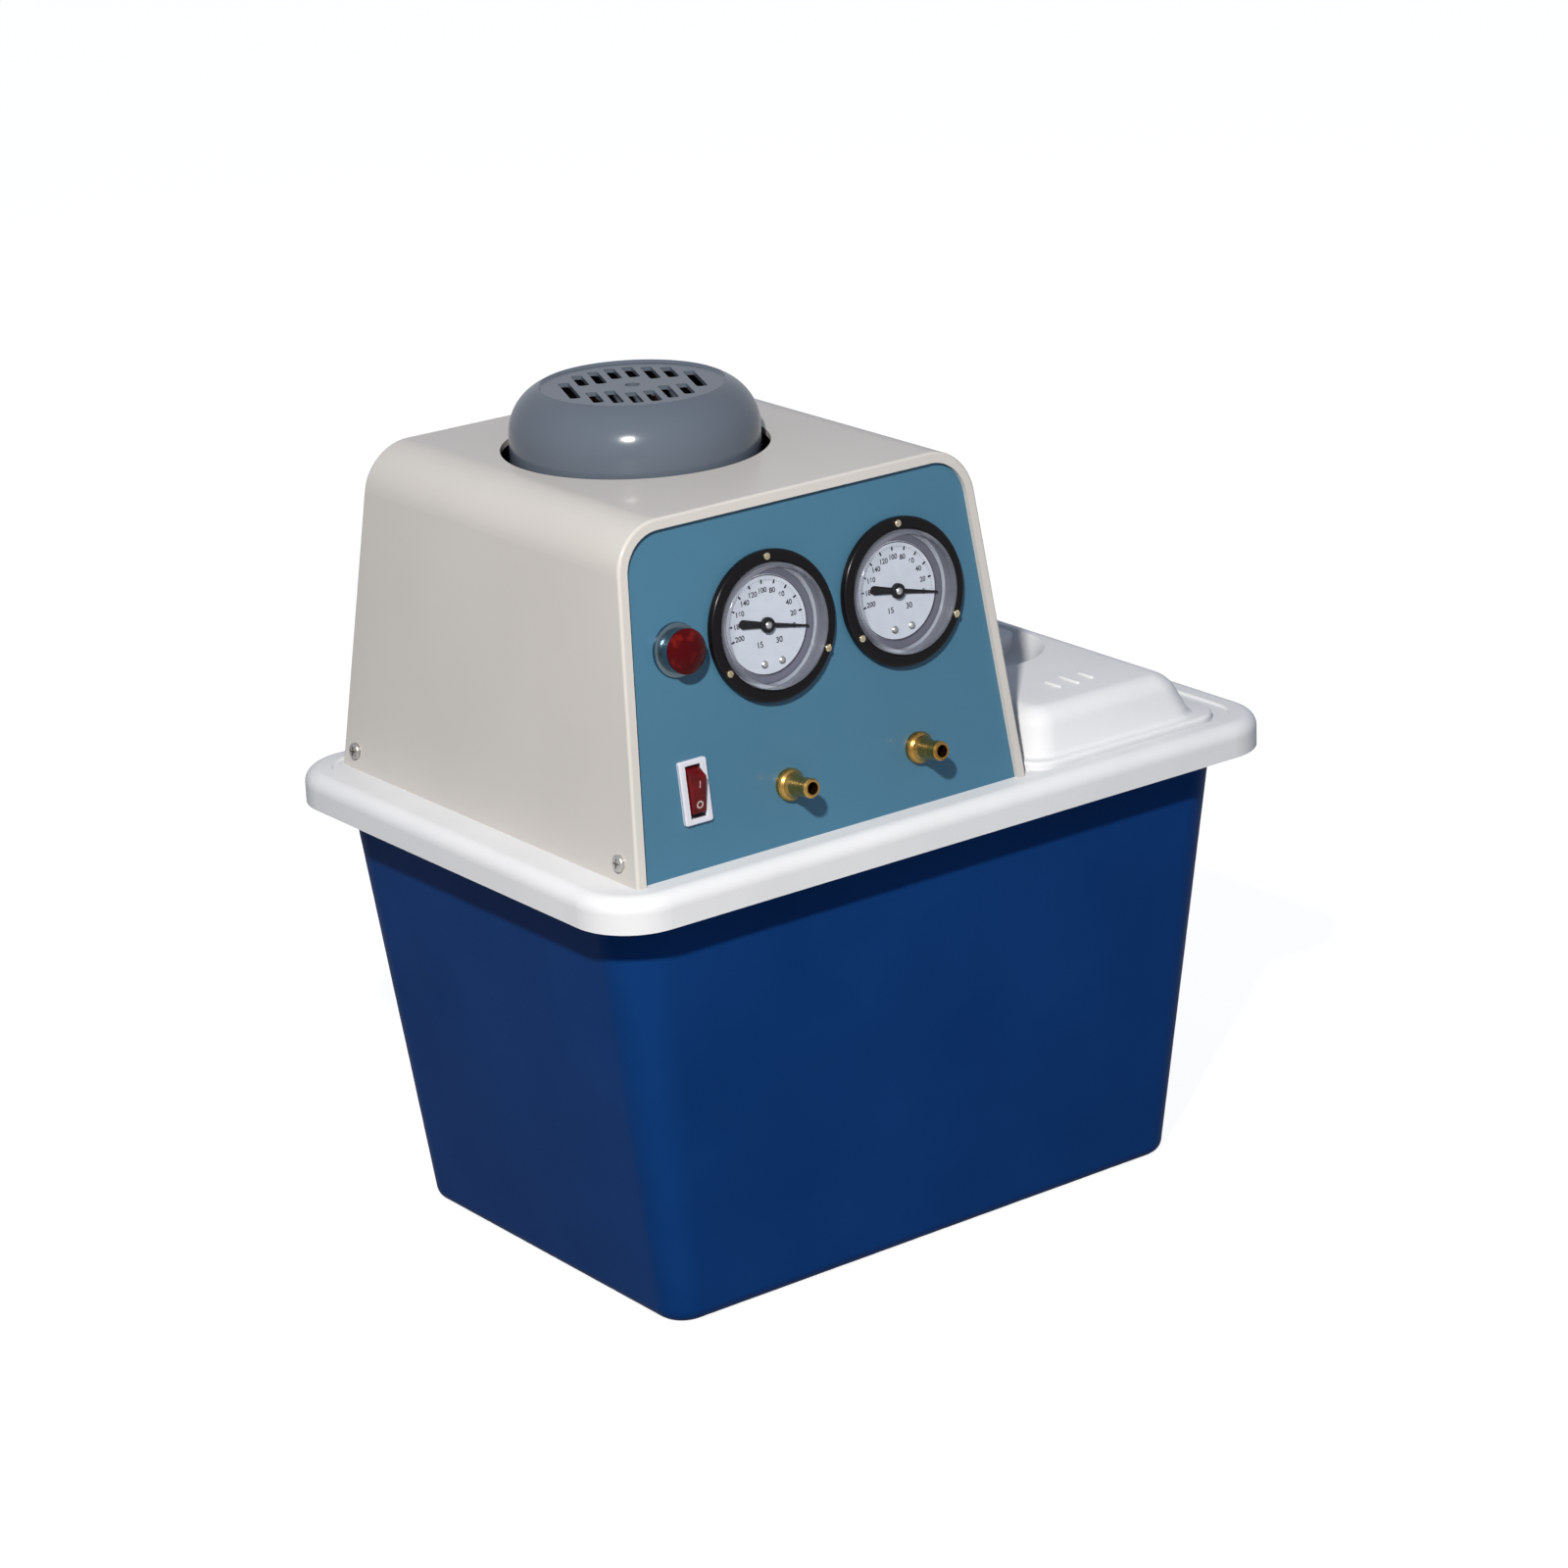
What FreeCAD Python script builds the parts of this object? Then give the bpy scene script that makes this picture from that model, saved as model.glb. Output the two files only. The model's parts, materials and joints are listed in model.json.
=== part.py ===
import FreeCAD, Part
import math
import os

# Bench-top water circulating vacuum pump: a tapered water tank, a lid that carries a motor under a
# slanted hood, and a pump with two ejectors that hang from the lid into the water.
# Millimetres. X runs along the tank, the instrument panel faces -Y, Z is up, and the origin is the
# middle of the tank's underside.

V = FreeCAD.Vector
X_AXIS = V(1, 0, 0)
Y_AXIS = V(0, 1, 0)
Z_AXIS = V(0, 0, 1)

# Clearances between pieces
slip_gap = 0.2          # loose fit between pieces that don't turn
snug_gap = 0.05         # radial clearance of spigots, hoses and spindles
turn_gap = 0.5          # clearance round parts that turn

# Water tank
tank_height = 226.0
tank_wall = 3.0
tank_top_length = 368.8
tank_top_width = 245.2
tank_top_corner = 25.0
tank_foot_length = 309.2
tank_foot_width = 212.6
tank_foot_corner = 15.0
tank_foot_edge = 7.0
tank_rim_thickness = 4.0

# Tank outlets, on the back wall
outlet_bore = 5.0
outlet_radius = 7.0
outlet_length = 19.0
outlet_flange_radius = 12.0
outlet_flange_thickness = 3.0
outlet_x = 110.0
overflow_drop = 38.0        # from the tank's top to the overflow
drain_height = 24.0
cap_wall = 2.5
cap_length = 14.0
cap_grip_count = 12
cap_grip_radius = 0.9

# Tank lid
lid_end_overhang = 15.6      # lid beyond the tank's top, at each end
lid_side_overhang = 17.4     # and at each side
lid_corner = 30.0
lid_plate = 3.0
lid_wall = 3.0
lid_fit_gap = 2.6           # between the skirt and the tank's rim
lid_skirt_height = 12.3     # how far the skirt hangs below the plate
lid_shoulder = 7.0
lid_rim_width = 14.0
lid_rim_rise = 1.2
motor_opening_radius = 56.0
hose_hole_gap = 2.0

# Filler opening and its cover
filler_corner = 14.0
filler_ledge = 12.0         # seat round the opening, under the cover's box
cover_end_margin = 20.0     # from the lid's right end to the cover
cover_side_margin = 16.5    # from the lid's sides to the cover
cover_hood_gap = 4.5        # from the hood's right foot to the cover
cover_flange_corner = 16.0
cover_flange_thickness = 4.0
cover_left_ledge = 4.0      # flange showing round the box
cover_right_ledge = 13.0
cover_side_ledge = 9.5
cover_foot_corner = 15.0
cover_left_lean = 4.5       # how far each wall of the box leans in
cover_right_lean = 17.5
cover_side_lean = 10.0
cover_head_corner = 12.0
cover_rise = 25.0           # from the flange to the flat top
cover_wall = 2.5
cover_edge = 6.0
cover_lip_depth = 7.0
grip_end_margin = 10.0      # from the top's ends to the finger recess
grip_width = 102.0
grip_depth = 13.0
grip_draft = 7.0
grip_edge = 5.0
grip_bar_width = 15.0
rib_spacing = 10.4
rib_width = 2.2
rib_rise = 1.1
rib_lengths = (10.8, 14.6, 10.8)
rib_margin = 12.0           # from the top's front edge to the ribs' middle

# Hood
hood_height = 160.5
hood_length = 226.5
hood_left_margin = 24.0     # from the lid's edges to the hood's foot
hood_front_margin = 16.5
hood_back_margin = 18.4
hood_taper = 13.2           # each side leans in by this much over the height
hood_lean = 21.6            # front and back lean in by this much over the height
hood_corner = 24.0
hood_wall = 3.0
hood_lip_width = 5.0
hood_lip_depth = 2.5
hood_lip_edge = 1.4
hood_hole_radius = 63.6
panel_thickness = 2.5

# Hood screws and the lugs on the lid that they reach
hood_screw_height = 9.3
hood_screw_margin = 30.5    # from the lid's sides to the screws
hood_screw_head = 4.0
hood_screw_head_height = 2.2
hood_screw_shank = 1.9
hood_screw_length = 7.0
lug_length = 16.0
lug_height = 18.0
lug_thickness = 6.0

# Instrument panel layout, along from the hood's left foot and up the slope from the panel's foot
gauge_along = (91.0, 166.6)
gauge_up = 101.6
lamp_along = 38.5
switch_along = 38.5
switch_up = 36.5
nozzle_up = 27.4

# Vacuum gauge
bezel_radius = 35.0
bezel_opening = 29.0
bezel_thickness = 4.2
bezel_edge = 1.4
case_flange_thickness = 1.0
case_radius = 31.0
case_depth = 24.0
case_wall = 1.5
case_ledge = 2.0
dial_depth = 3.0
dial_thickness = 0.8
dial_hole_radius = 1.8
lens_rise = 3.0             # how far the lens stands above the bezel
lens_wall = 2.0
lens_edge = 1.6
gauge_screw_circle = 32.2
gauge_screw_angles = (90.0, -30.0, 210.0)
gauge_screw_head = 1.7
gauge_screw_head_height = 1.1
gauge_screw_shank = 0.8
stem_radius = 5.0
stem_length = 4.0
stem_barb_radius = 2.0
stem_barb_length = 6.0
spindle_radius = 1.0
movement_radius = 7.0
movement_height = 11.0
pointer_hub_radius = 3.6
pointer_hub_height = 2.0
pointer_reach = 23.5
pointer_tail = 13.5
pointer_tail_width = 4.2
pointer_root_width = 2.4
pointer_tip_width = 0.9
pointer_thickness = 0.7
pointer_lift = 1.0          # gap between the dial and the pointer
pointer_rest_angle = -12.4

# Indicator lamp
lamp_flange_radius = 12.6
lamp_flange_thickness = 2.2
lamp_sleeve_radius = 11.7
lamp_sleeve_height = 8.2
lamp_lens_radius = 10.4
lamp_lens_height = 12.4
lamp_tail_radius = 8.0
lamp_tail_length = 20.0

# Rocker switch
switch_width = 15.2
switch_height = 29.6
switch_plate = 1.8
switch_corner = 1.2
switch_body_width = 12.8
switch_body_height = 26.6
switch_body_depth = 16.0
rocker_width = 10.0
rocker_half = 11.0
rocker_end_gap = 1.4
rocker_tilt = 12.0
rocker_pivot_drop = 1.5
rocker_face = 3.4           # rocker face above its pivot, at the middle
rocker_belly = 6.5
rocker_pin_radius = 1.4
switch_wall = 1.2

# Brass suction nozzles and the valves behind them
nozzle_flange_radius = 7.6
nozzle_flange_thickness = 3.0
nozzle_neck_radius = 5.2
nozzle_waist_radius = 4.2
nozzle_barb_radius = 4.6
nozzle_barb_length = 4.0
nozzle_tip_radius = 4.0
nozzle_length = 18.0
nozzle_bore = 3.0
nozzle_shank_radius = 4.9
nozzle_shank_length = 16.0
valve_radius = 8.0
valve_half_length = 12.0
valve_port_radius = 7.0
valve_depth = 20.0
valve_barb_radius = 4.0
valve_barb_length = 8.0
valve_bore = 2.6

# Back panel layout, measured in the same way
outlet_valve_along = 81.2
outlet_up = 27.4
knob_up = 62.0
return_along = 191.0
gland_along = 191.0
gland_up = 66.0
fuse_along = 191.0
fuse_up = 100.0

# Circulating water outlet valve and return spout
water_nozzle_flange = 9.5
water_nozzle_tip = 6.0
water_nozzle_barb = 6.0
water_nozzle_length = 22.0
water_nozzle_bore = 4.2
valve_body_width = 24.0
valve_body_margin = 14.0
valve_body_depth = 24.0
knob_radius = 13.0
knob_base = 4.0
knob_height = 15.0
knob_bar_width = 7.0
knob_flutes = 10
knob_flute_radius = 1.3
knob_spindle_radius = 3.0
knob_spindle_length = 15.0
spout_radius = 6.0
spout_bend = 14.0
spout_reach = 28.0
spout_drop = 75.0

# Fuse holder and cable gland
fuse_flange_radius = 9.5
fuse_flange_thickness = 2.0
fuse_body_radius = 7.0
fuse_body_length = 28.0
fuse_bore = 4.6
fuse_cap_radius = 7.4
fuse_cap_height = 9.0
fuse_cap_stem_length = 18.0
gland_hex_radius = 11.0
gland_hex_height = 6.0
gland_dome_radius = 9.0
gland_dome_height = 12.0
gland_bore = 3.6
gland_thread_radius = 8.0
gland_thread_length = 12.0

# Motor, standing on the lid
motor_along = 105.0         # from the hood's left foot to the motor's axis
motor_back = 11.45          # motor axis behind the middle of the hood's depth
foot_plate_size = 130.0
foot_plate_corner = 12.0
foot_plate_thickness = 6.0
plate_bolt_spacing = 108.0
bolt_radius = 3.0
bolt_head_radius = 5.5
bolt_head_height = 4.0
bell_height = 28.0          # with the foot plate
bell_collar_height = 5.0
bell_collar_radius = 59.2
bell_radius = 52.0
housing_height = 88.0
housing_radius = 56.5
housing_wall = 4.5
housing_rib_count = 24
housing_rib_width = 2.6
housing_rib_height = 2.0
top_bell_height = 13.0
bearing_outer = 17.5
bearing_inner = 7.5
bearing_width = 11.0
stator_bore = 30.0
stator_margin = 15.0        # from each end of the housing to the core
winding_inner = 33.0
winding_outer = 47.0
winding_height = 13.0
stator_slot_count = 12
stator_slot_width = 3.0
stator_slot_depth = 12.0
fan_cover_radius = 59.2
fan_cover_wall = 2.0
fan_cover_height = 74.2
fan_cover_dome = 24.0
fan_disc_radius = 44.0
fan_disc_drop = 1.2
fan_slot_width = 5.2
fan_slot_pitch = 8.6
fan_slot_rows = ((0.5, 13.8, 34.6), (1.5, 7.4, 31.4), (2.5, 6.8, 27.3))
fan_end_slot_half = 15.5
fan_slot_turn = 66.5
fan_centre_hole = 3.6
fan_radius = 50.0
fan_hub_radius = 13.0
fan_height = 30.0
fan_gap = 14.0              # from the upper bell to the fan
fan_shaft_recess = 5.0      # shaft end below the fan's top
fan_disc_thickness = 2.5
fan_blade_count = 9
fan_blade_thickness = 2.0
capacitor_along = 198.0     # from the hood's left foot
capacitor_back = 27.5       # behind the motor's axis
capacitor_radius = 16.0
capacitor_height = 62.0

# Shaft, pump column and pump
shaft_radius = 7.5
shaft_thin_radius = 6.0
pump_stand = 19.0           # from the tank's floor to the strainer
column_radius = 25.0
column_wall = 4.0
column_flange_radius = 48.0
column_flange_height = 6.0
column_window_count = 4
column_window_width = 18.0
column_window_height = 60.0
column_window_drop = 35.0   # from the top flange to the windows
bush_radius = 10.0
bush_height = 12.0
casing_height = 27.0
casing_radius = 48.0
casing_roof = 5.0
chamber_radius = 39.0
pump_cover_height = 6.0
eye_radius = 14.0
strainer_radius = 30.0
strainer_height = 14.0
strainer_wall = 2.5
strainer_window_count = 8
strainer_window_width = 10.0
impeller_radius = 35.0
impeller_hub_radius = 11.0
impeller_disc = 3.0
impeller_vane_height = 9.0
impeller_vane_count = 6
impeller_vane_thickness = 2.4
impeller_gap = 2.0

# Discharge pipework and ejectors
pipe_radius = 10.0
pipe_bore = 7.5
collar_radius = 13.0
collar_length = 12.0
spigot_reach = 62.0         # from the motor axis to the end of the casing's front spigot
ejector_stand = 32.0        # from the suction hoses' rise back to the ejectors' axes
manifold_drop = 29.0        # from the lid's top to the cross pipe
ejector_socket_length = 16.0
ejector_chamber_radius = 14.0
ejector_chamber_length = 34.0
ejector_chamber_bore = 10.5
ejector_jet_radius = 3.0
ejector_jet_wall = 2.0
ejector_tail_radius = 9.0
ejector_tail_length = 78.0
ejector_throat = 4.5
ejector_mouth = 6.5
ejector_barb_length = 6.0
hose_radius = 6.0
hose_bend = 12.0
hose_wall_gap = 4.5         # from the tank's wall to the suction hoses
suction_hose_drop = 45.0    # straight run below the valve's barb
hose_grip = 11.0            # length of water hose that is pushed over the casing's back spigot
hose_casing_gap = 1.0       # at least, from the casing to that hose's end
gauge_hose_radius = 3.6
gauge_hose_bend = 11.0
gauge_hose_rise = 13.0
gauge_hose_slack = 1.5      # straight run between the gauge's barb and the bend
water_hose_radius = 8.0
water_hose_bore = 5.8
water_hose_bend = 16.0
water_hose_gap = 3.1        # from the tank's wall to the water hose
water_spigot_gap = 7.5      # from the end of the back spigot to the hose's bend
water_hose_drop = 28.0      # straight run below the valve's barb

# Levels and places that follow from the sizes above
lid_length = tank_top_length + 2 * lid_end_overhang
lid_width = tank_top_width + 2 * lid_side_overhang
hood_left_foot = hood_left_margin - lid_length / 2
hood_right_foot = hood_left_foot + hood_length
hood_front_foot = hood_front_margin - lid_width / 2
hood_back_foot = lid_width / 2 - hood_back_margin
hood_screw_y = lid_width / 2 - hood_screw_margin
cover_left = hood_right_foot + cover_hood_gap
cover_flange_length = lid_length / 2 - cover_end_margin - cover_left
cover_flange_width = lid_width - 2 * cover_side_margin
cover_flange_x = cover_left + cover_flange_length / 2
cover_foot_length = cover_flange_length - cover_left_ledge - cover_right_ledge
cover_foot_width = cover_flange_width - 2 * cover_side_ledge
cover_head_length = cover_foot_length - cover_left_lean - cover_right_lean
cover_head_width = cover_foot_width - 2 * cover_side_lean
filler_x = cover_flange_x + (cover_left_ledge - cover_right_ledge) / 2
filler_length = cover_foot_length - 2 * filler_ledge
filler_width = cover_foot_width - 2 * filler_ledge
cover_head_x = filler_x + (cover_left_lean - cover_right_lean) / 2
grip_length = cover_head_length - 2 * grip_end_margin
rib_y = rib_margin - cover_head_width / 2
motor_x = hood_left_foot + motor_along
motor_y = (hood_front_foot + hood_back_foot) / 2 + motor_back
gauge_x = [hood_left_foot + along for along in gauge_along]
lamp_x = hood_left_foot + lamp_along
switch_x = hood_left_foot + switch_along
outlet_valve_x = hood_left_foot + outlet_valve_along
return_x = hood_left_foot + return_along
gland_x = hood_left_foot + gland_along
fuse_x = hood_left_foot + fuse_along
capacitor_x = hood_left_foot + capacitor_along
capacitor_y = motor_y + capacitor_back
lid_under = tank_height
lid_top = lid_under + lid_plate
skirt_foot = lid_under - lid_skirt_height
hood_top = lid_top + hood_height
housing_foot = lid_top + bell_height
housing_top = housing_foot + housing_height
overflow_height = tank_height - overflow_drop
casing_foot = tank_wall + pump_stand + strainer_height + pump_cover_height
column_foot = casing_foot + casing_height
column_length = lid_top - column_foot
chamber_top = column_foot - casing_roof
impeller_foot = chamber_top - impeller_gap - impeller_disc - impeller_vane_height
pipe_level = (casing_foot + chamber_top) / 2
fan_foot = housing_top + top_bell_height + fan_gap
shaft_top = fan_foot + fan_height - fan_shaft_recess
manifold_level = lid_top - manifold_drop
riser_x = (gauge_x[0] + gauge_x[1]) / 2
ejector_top = manifold_level - pipe_radius - 2
chamber_level = ejector_top - ejector_socket_length - ejector_chamber_length / 2
tank_flare = (tank_top_width - tank_foot_width) / 2 / tank_height
hose_front = hose_radius + hose_wall_gap + tank_wall - tank_foot_width / 2 - tank_flare * chamber_level
ejector_y = hose_front + ejector_stand
water_hose_back = (tank_foot_width / 2 + tank_flare * pipe_level
                   - tank_wall - water_hose_gap - water_hose_radius)
water_spigot_end = water_hose_back - water_hose_bend - water_spigot_gap
water_hose_start = max(water_spigot_end - hose_grip, motor_y + casing_radius + hose_casing_gap)
lean_angle = math.degrees(math.atan2(hood_lean, hood_height))
taper_slope = hood_taper / hood_height
panel_face = -hood_lip_depth
panel_back = panel_face - panel_thickness
cover_flange_top = lid_top + cover_flange_thickness
cover_top = cover_flange_top + cover_rise
gauge_hose_depth = (case_depth - panel_face + stem_length + stem_barb_length
                    + gauge_hose_slack + gauge_hose_bend)


def rounded_wire(length, width, radius, z, x=0.0, y=0.0):
    """Closed outline of a rectangle with round corners, level at height z."""
    half_x = length / 2 - radius
    half_y = width / 2 - radius
    edges = []
    corners = ((1, 1, 0), (-1, 1, 90), (-1, -1, 180), (1, -1, 270))
    arcs = []
    for sign_x, sign_y, start in corners:
        centre = V(x + sign_x * half_x, y + sign_y * half_y, z)
        points = []
        for turn in (0, 45, 90):
            angle = math.radians(start + turn)
            points.append(centre + V(radius * math.cos(angle), radius * math.sin(angle), 0))
        arcs.append(points)
    for index, points in enumerate(arcs):
        edges.append(Part.Arc(*points).toShape())
        following = arcs[(index + 1) % 4][0]
        if points[2].distanceToPoint(following) > 1e-6:
            edges.append(Part.makeLine(points[2], following))
    return Part.Wire(edges)


def rounded_block(length, width, radius, z, height, x=0.0, y=0.0):
    """Upright block with round corners."""
    return Part.Face(rounded_wire(length, width, radius, z, x, y)).extrude(V(0, 0, height))


def tapered_block(low, high):
    """Straight-sided block between two rounded outlines, each given as rounded_wire's values."""
    return Part.makeLoft([rounded_wire(*low), rounded_wire(*high)], True, True)


def revolved(points, x=0.0, y=0.0):
    """Solid of revolution about an upright axis, from (radius, height) points."""
    outline = Part.makePolygon([V(r, 0, z) for r, z in points] + [V(points[0][0], 0, points[0][1])])
    solid = Part.Face(outline).revolve(V(0, 0, 0), Z_AXIS, 360)
    solid.translate(V(x, y, 0))
    return solid


def cylinder(radius, z, height, x=0.0, y=0.0):
    return Part.makeCylinder(radius, height, V(x, y, z))


def ring(outer, inner, z, height, x=0.0, y=0.0):
    return cylinder(outer, z, height, x, y).cut(cylinder(inner, z, height, x, y))


def centred_box(size_x, size_y, z, height, x=0.0, y=0.0):
    return Part.makeBox(size_x, size_y, height, V(x - size_x / 2, y - size_y / 2, z))


def turned(shape, angle, x=0.0, y=0.0):
    """Copy of a shape, turned about an upright axis."""
    copy = shape.copy()
    copy.rotate(V(x, y, 0), Z_AXIS, angle)
    return copy


def around(shape, count, x=0.0, y=0.0):
    """Copies of a shape, evenly spaced round an upright axis."""
    return [turned(shape, index * 360 / count, x, y) for index in range(count)]


def edges_at(shape, height, tolerance=0.01):
    """Level edges of a shape at one height."""
    found = []
    for edge in shape.Edges:
        box = edge.BoundBox
        if abs(box.ZMin - height) < tolerance and abs(box.ZMax - height) < tolerance:
            found.append(edge)
    return found


def joined(first, *others):
    return first.fuse(list(others)).removeSplitter()


def bent_path(points, bend):
    """Wire of straight runs joined by tangent arcs of one radius."""
    edges = []
    start = points[0]
    for before, corner, after in zip(points, points[1:], points[2:]):
        towards = (corner - before).normalize()
        away = (after - corner).normalize()
        turn = towards.getAngle(away)
        if turn < 1e-3:
            continue
        trim = bend * math.tan(turn / 2)
        enter = corner - towards * trim
        leave = corner + away * trim
        centre = corner + (away - towards).normalize() * (bend / math.cos(turn / 2))
        middle = centre + (corner - centre).normalize() * bend
        edges.append(Part.makeLine(start, enter))
        edges.append(Part.Arc(enter, middle, leave).toShape())
        start = leave
    edges.append(Part.makeLine(start, points[-1]))
    return Part.Wire(edges)


def swept(path, radius):
    """Round bar along a path."""
    first = path.OrderedEdges[0]
    start = first.valueAt(first.FirstParameter)
    direction = first.tangentAt(first.FirstParameter)
    circle = Part.Wire([Part.makeCircle(radius, start, direction)])
    return path.makePipeShell([circle], True, True)


def hose(points, bend, outer, inner):
    """Hose along straight runs and arcs."""
    path = bent_path(points, bend)
    return swept(path, outer).cut(swept(path, inner))


def front_frame():
    """Front panel's own axes: X across, Y up the slope, Z squarely out."""
    return FreeCAD.Placement(V(0, hood_front_foot, lid_top), FreeCAD.Rotation(X_AXIS, 90 - lean_angle))


def back_frame():
    """Back panel's own axes, with X towards the left as seen from the front."""
    tilt = FreeCAD.Rotation(Z_AXIS, 180).multiply(FreeCAD.Rotation(X_AXIS, 90 - lean_angle))
    return FreeCAD.Placement(V(0, hood_back_foot, lid_top), tilt)


def placed(shape, frame, across, up):
    """Copy of a shape built about the origin, put on a panel."""
    copy = shape.copy()
    spot = frame.multiply(FreeCAD.Placement(V(across, up, 0), FreeCAD.Rotation()))
    copy.Placement = spot.multiply(copy.Placement)
    return copy


def on_front(shape, x, up):
    return placed(shape, front_frame(), x, up)


def on_back(shape, x, up):
    return placed(shape, back_frame(), -x, up)


def front_point(x, up, out):
    return front_frame().multVec(V(x, up, out))


def back_point(x, up, out):
    return back_frame().multVec(V(-x, up, out))


def make_tank():
    """Tapered open tank with a flat rim for the lid."""
    foot = (tank_foot_length, tank_foot_width, tank_foot_corner, 0.0)
    head = (tank_top_length, tank_top_width, tank_top_corner, tank_height)
    shell = tapered_block(foot, head)
    shell = shell.makeFillet(tank_foot_edge, edges_at(shell, 0.0))
    rim_foot = tank_height - tank_rim_thickness
    inside_lid = lid_wall + lid_fit_gap
    rim = rounded_block(lid_length - 2 * inside_lid, lid_width - 2 * inside_lid,
                        lid_corner - inside_lid, rim_foot, tank_rim_thickness)
    inner_foot = (tank_foot_length - 2 * tank_wall, tank_foot_width - 2 * tank_wall,
                  tank_foot_corner - tank_wall, tank_wall)
    inner_head = (tank_top_length - 2 * tank_wall, tank_top_width - 2 * tank_wall,
                  tank_top_corner - tank_wall, tank_height)
    water = tapered_block(inner_foot, inner_head)
    water = water.makeFillet(tank_foot_edge - tank_wall, edges_at(water, tank_wall))
    tank = joined(shell, rim).cut(water)
    for height in (overflow_height, drain_height):
        hole = cylinder(outlet_radius + snug_gap, -4 * tank_wall, 8 * tank_wall)
        tank = tank.cut(on_tank_back(hole, height))
    return tank


def on_tank_back(shape, height):
    """Move a shape built about the Z axis so that it stands squarely on the tank's back wall."""
    wall = tank_foot_width / 2 + tank_flare * height
    shape.rotate(V(0, 0, 0), X_AXIS, -90 - math.degrees(math.atan(tank_flare)))
    shape.translate(V(outlet_x, wall, height))
    return shape


def make_outlet(height):
    """Flanged spout through the tank's back wall, with its flange against the wall."""
    inside = tank_wall + 4.0
    body = cylinder(outlet_radius, -inside, inside + outlet_length)
    flange = cylinder(outlet_flange_radius, 0.0, outlet_flange_thickness)
    flange = flange.makeChamfer(0.8, edges_at(flange, outlet_flange_thickness))
    outlet = joined(body, flange).cut(cylinder(outlet_bore, -inside, inside + outlet_length))
    return on_tank_back(outlet, height)


def make_drain_cap():
    """Fluted screw cap over the drain."""
    outer = outlet_radius + snug_gap + cap_wall
    foot = outlet_length - cap_length + cap_wall
    cap = cylinder(outer, foot, cap_length)
    cap = cap.makeFillet(1.2, edges_at(cap, foot + cap_length))
    flute = cylinder(cap_grip_radius, foot, cap_length - 3.0, outer)
    cap = cap.cut(around(flute, cap_grip_count))
    cap = cap.cut(cylinder(outlet_radius + snug_gap, foot, cap_length - cap_wall + slip_gap))
    return on_tank_back(cap, drain_height)


def hood_section(inset, drop=0.0):
    """Upright outline of the hood seen from the front, moved in by inset and open below by drop."""
    angle = math.atan(taper_slope)
    shift = inset / math.cos(angle)
    top = hood_top - inset
    left = hood_left_foot + shift
    right = hood_right_foot - shift
    left_top = left + taper_slope * (top - lid_top)
    right_top = right - taper_slope * (top - lid_top)
    radius = hood_corner - inset
    tangent = radius * math.tan((math.pi / 2 - angle) / 2)
    foot = lid_top - drop
    foot_left = left - taper_slope * drop
    foot_right = right + taper_slope * drop
    side = V(math.sin(angle), 0, math.cos(angle)) * tangent
    mirrored = V(-side.x, 0, side.z)
    bisector = V(-math.cos(angle), 0, 1 + math.sin(angle)).normalize() * radius
    left_centre = V(left_top + tangent, 0, top - radius)
    right_centre = V(right_top - tangent, 0, top - radius)
    left_end = V(left_top, 0, top) - side
    right_end = V(right_top, 0, top) - mirrored
    left_start = V(left_top + tangent, 0, top)
    right_start = V(right_top - tangent, 0, top)
    edges = [
        Part.makeLine(V(foot_left, 0, foot), left_end),
        Part.Arc(left_end, left_centre + bisector, left_start).toShape(),
        Part.makeLine(left_start, right_start),
        Part.Arc(right_start, right_centre + V(-bisector.x, 0, bisector.z), right_end).toShape(),
        Part.makeLine(right_end, V(foot_right, 0, foot)),
        Part.makeLine(V(foot_right, 0, foot), V(foot_left, 0, foot)),
    ]
    return Part.Wire(edges)


def hood_wedge(front_in, back_in, drop=0.0):
    """Block between the leaning front and back planes, each moved in by its own distance."""
    slope = hood_lean / hood_height
    slant = math.sqrt(1 + slope * slope)
    low = lid_top - drop
    high = hood_top + 1.0
    span = 2 * (hood_right_foot - hood_left_foot)
    front = hood_front_foot + front_in * slant
    back = hood_back_foot - back_in * slant
    corners = [
        V(hood_left_foot - span / 4, front + slope * (low - lid_top), low),
        V(hood_left_foot - span / 4, front + slope * (high - lid_top), high),
        V(hood_left_foot - span / 4, back - slope * (high - lid_top), high),
        V(hood_left_foot - span / 4, back - slope * (low - lid_top), low),
    ]
    return Part.Face(Part.makePolygon(corners + [corners[0]])).extrude(V(span, 0, 0))


def hood_form(inset, front_in, back_in, drop=0.0):
    """Solid hood shape, moved in from the outside by the given distances."""
    depth = 2 * (hood_back_foot - hood_front_foot)
    slab = Part.Face(hood_section(inset, drop)).extrude(V(0, depth, 0))
    slab.translate(V(0, -depth / 2, 0))
    return slab.common(hood_wedge(front_in, back_in, drop))


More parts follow.
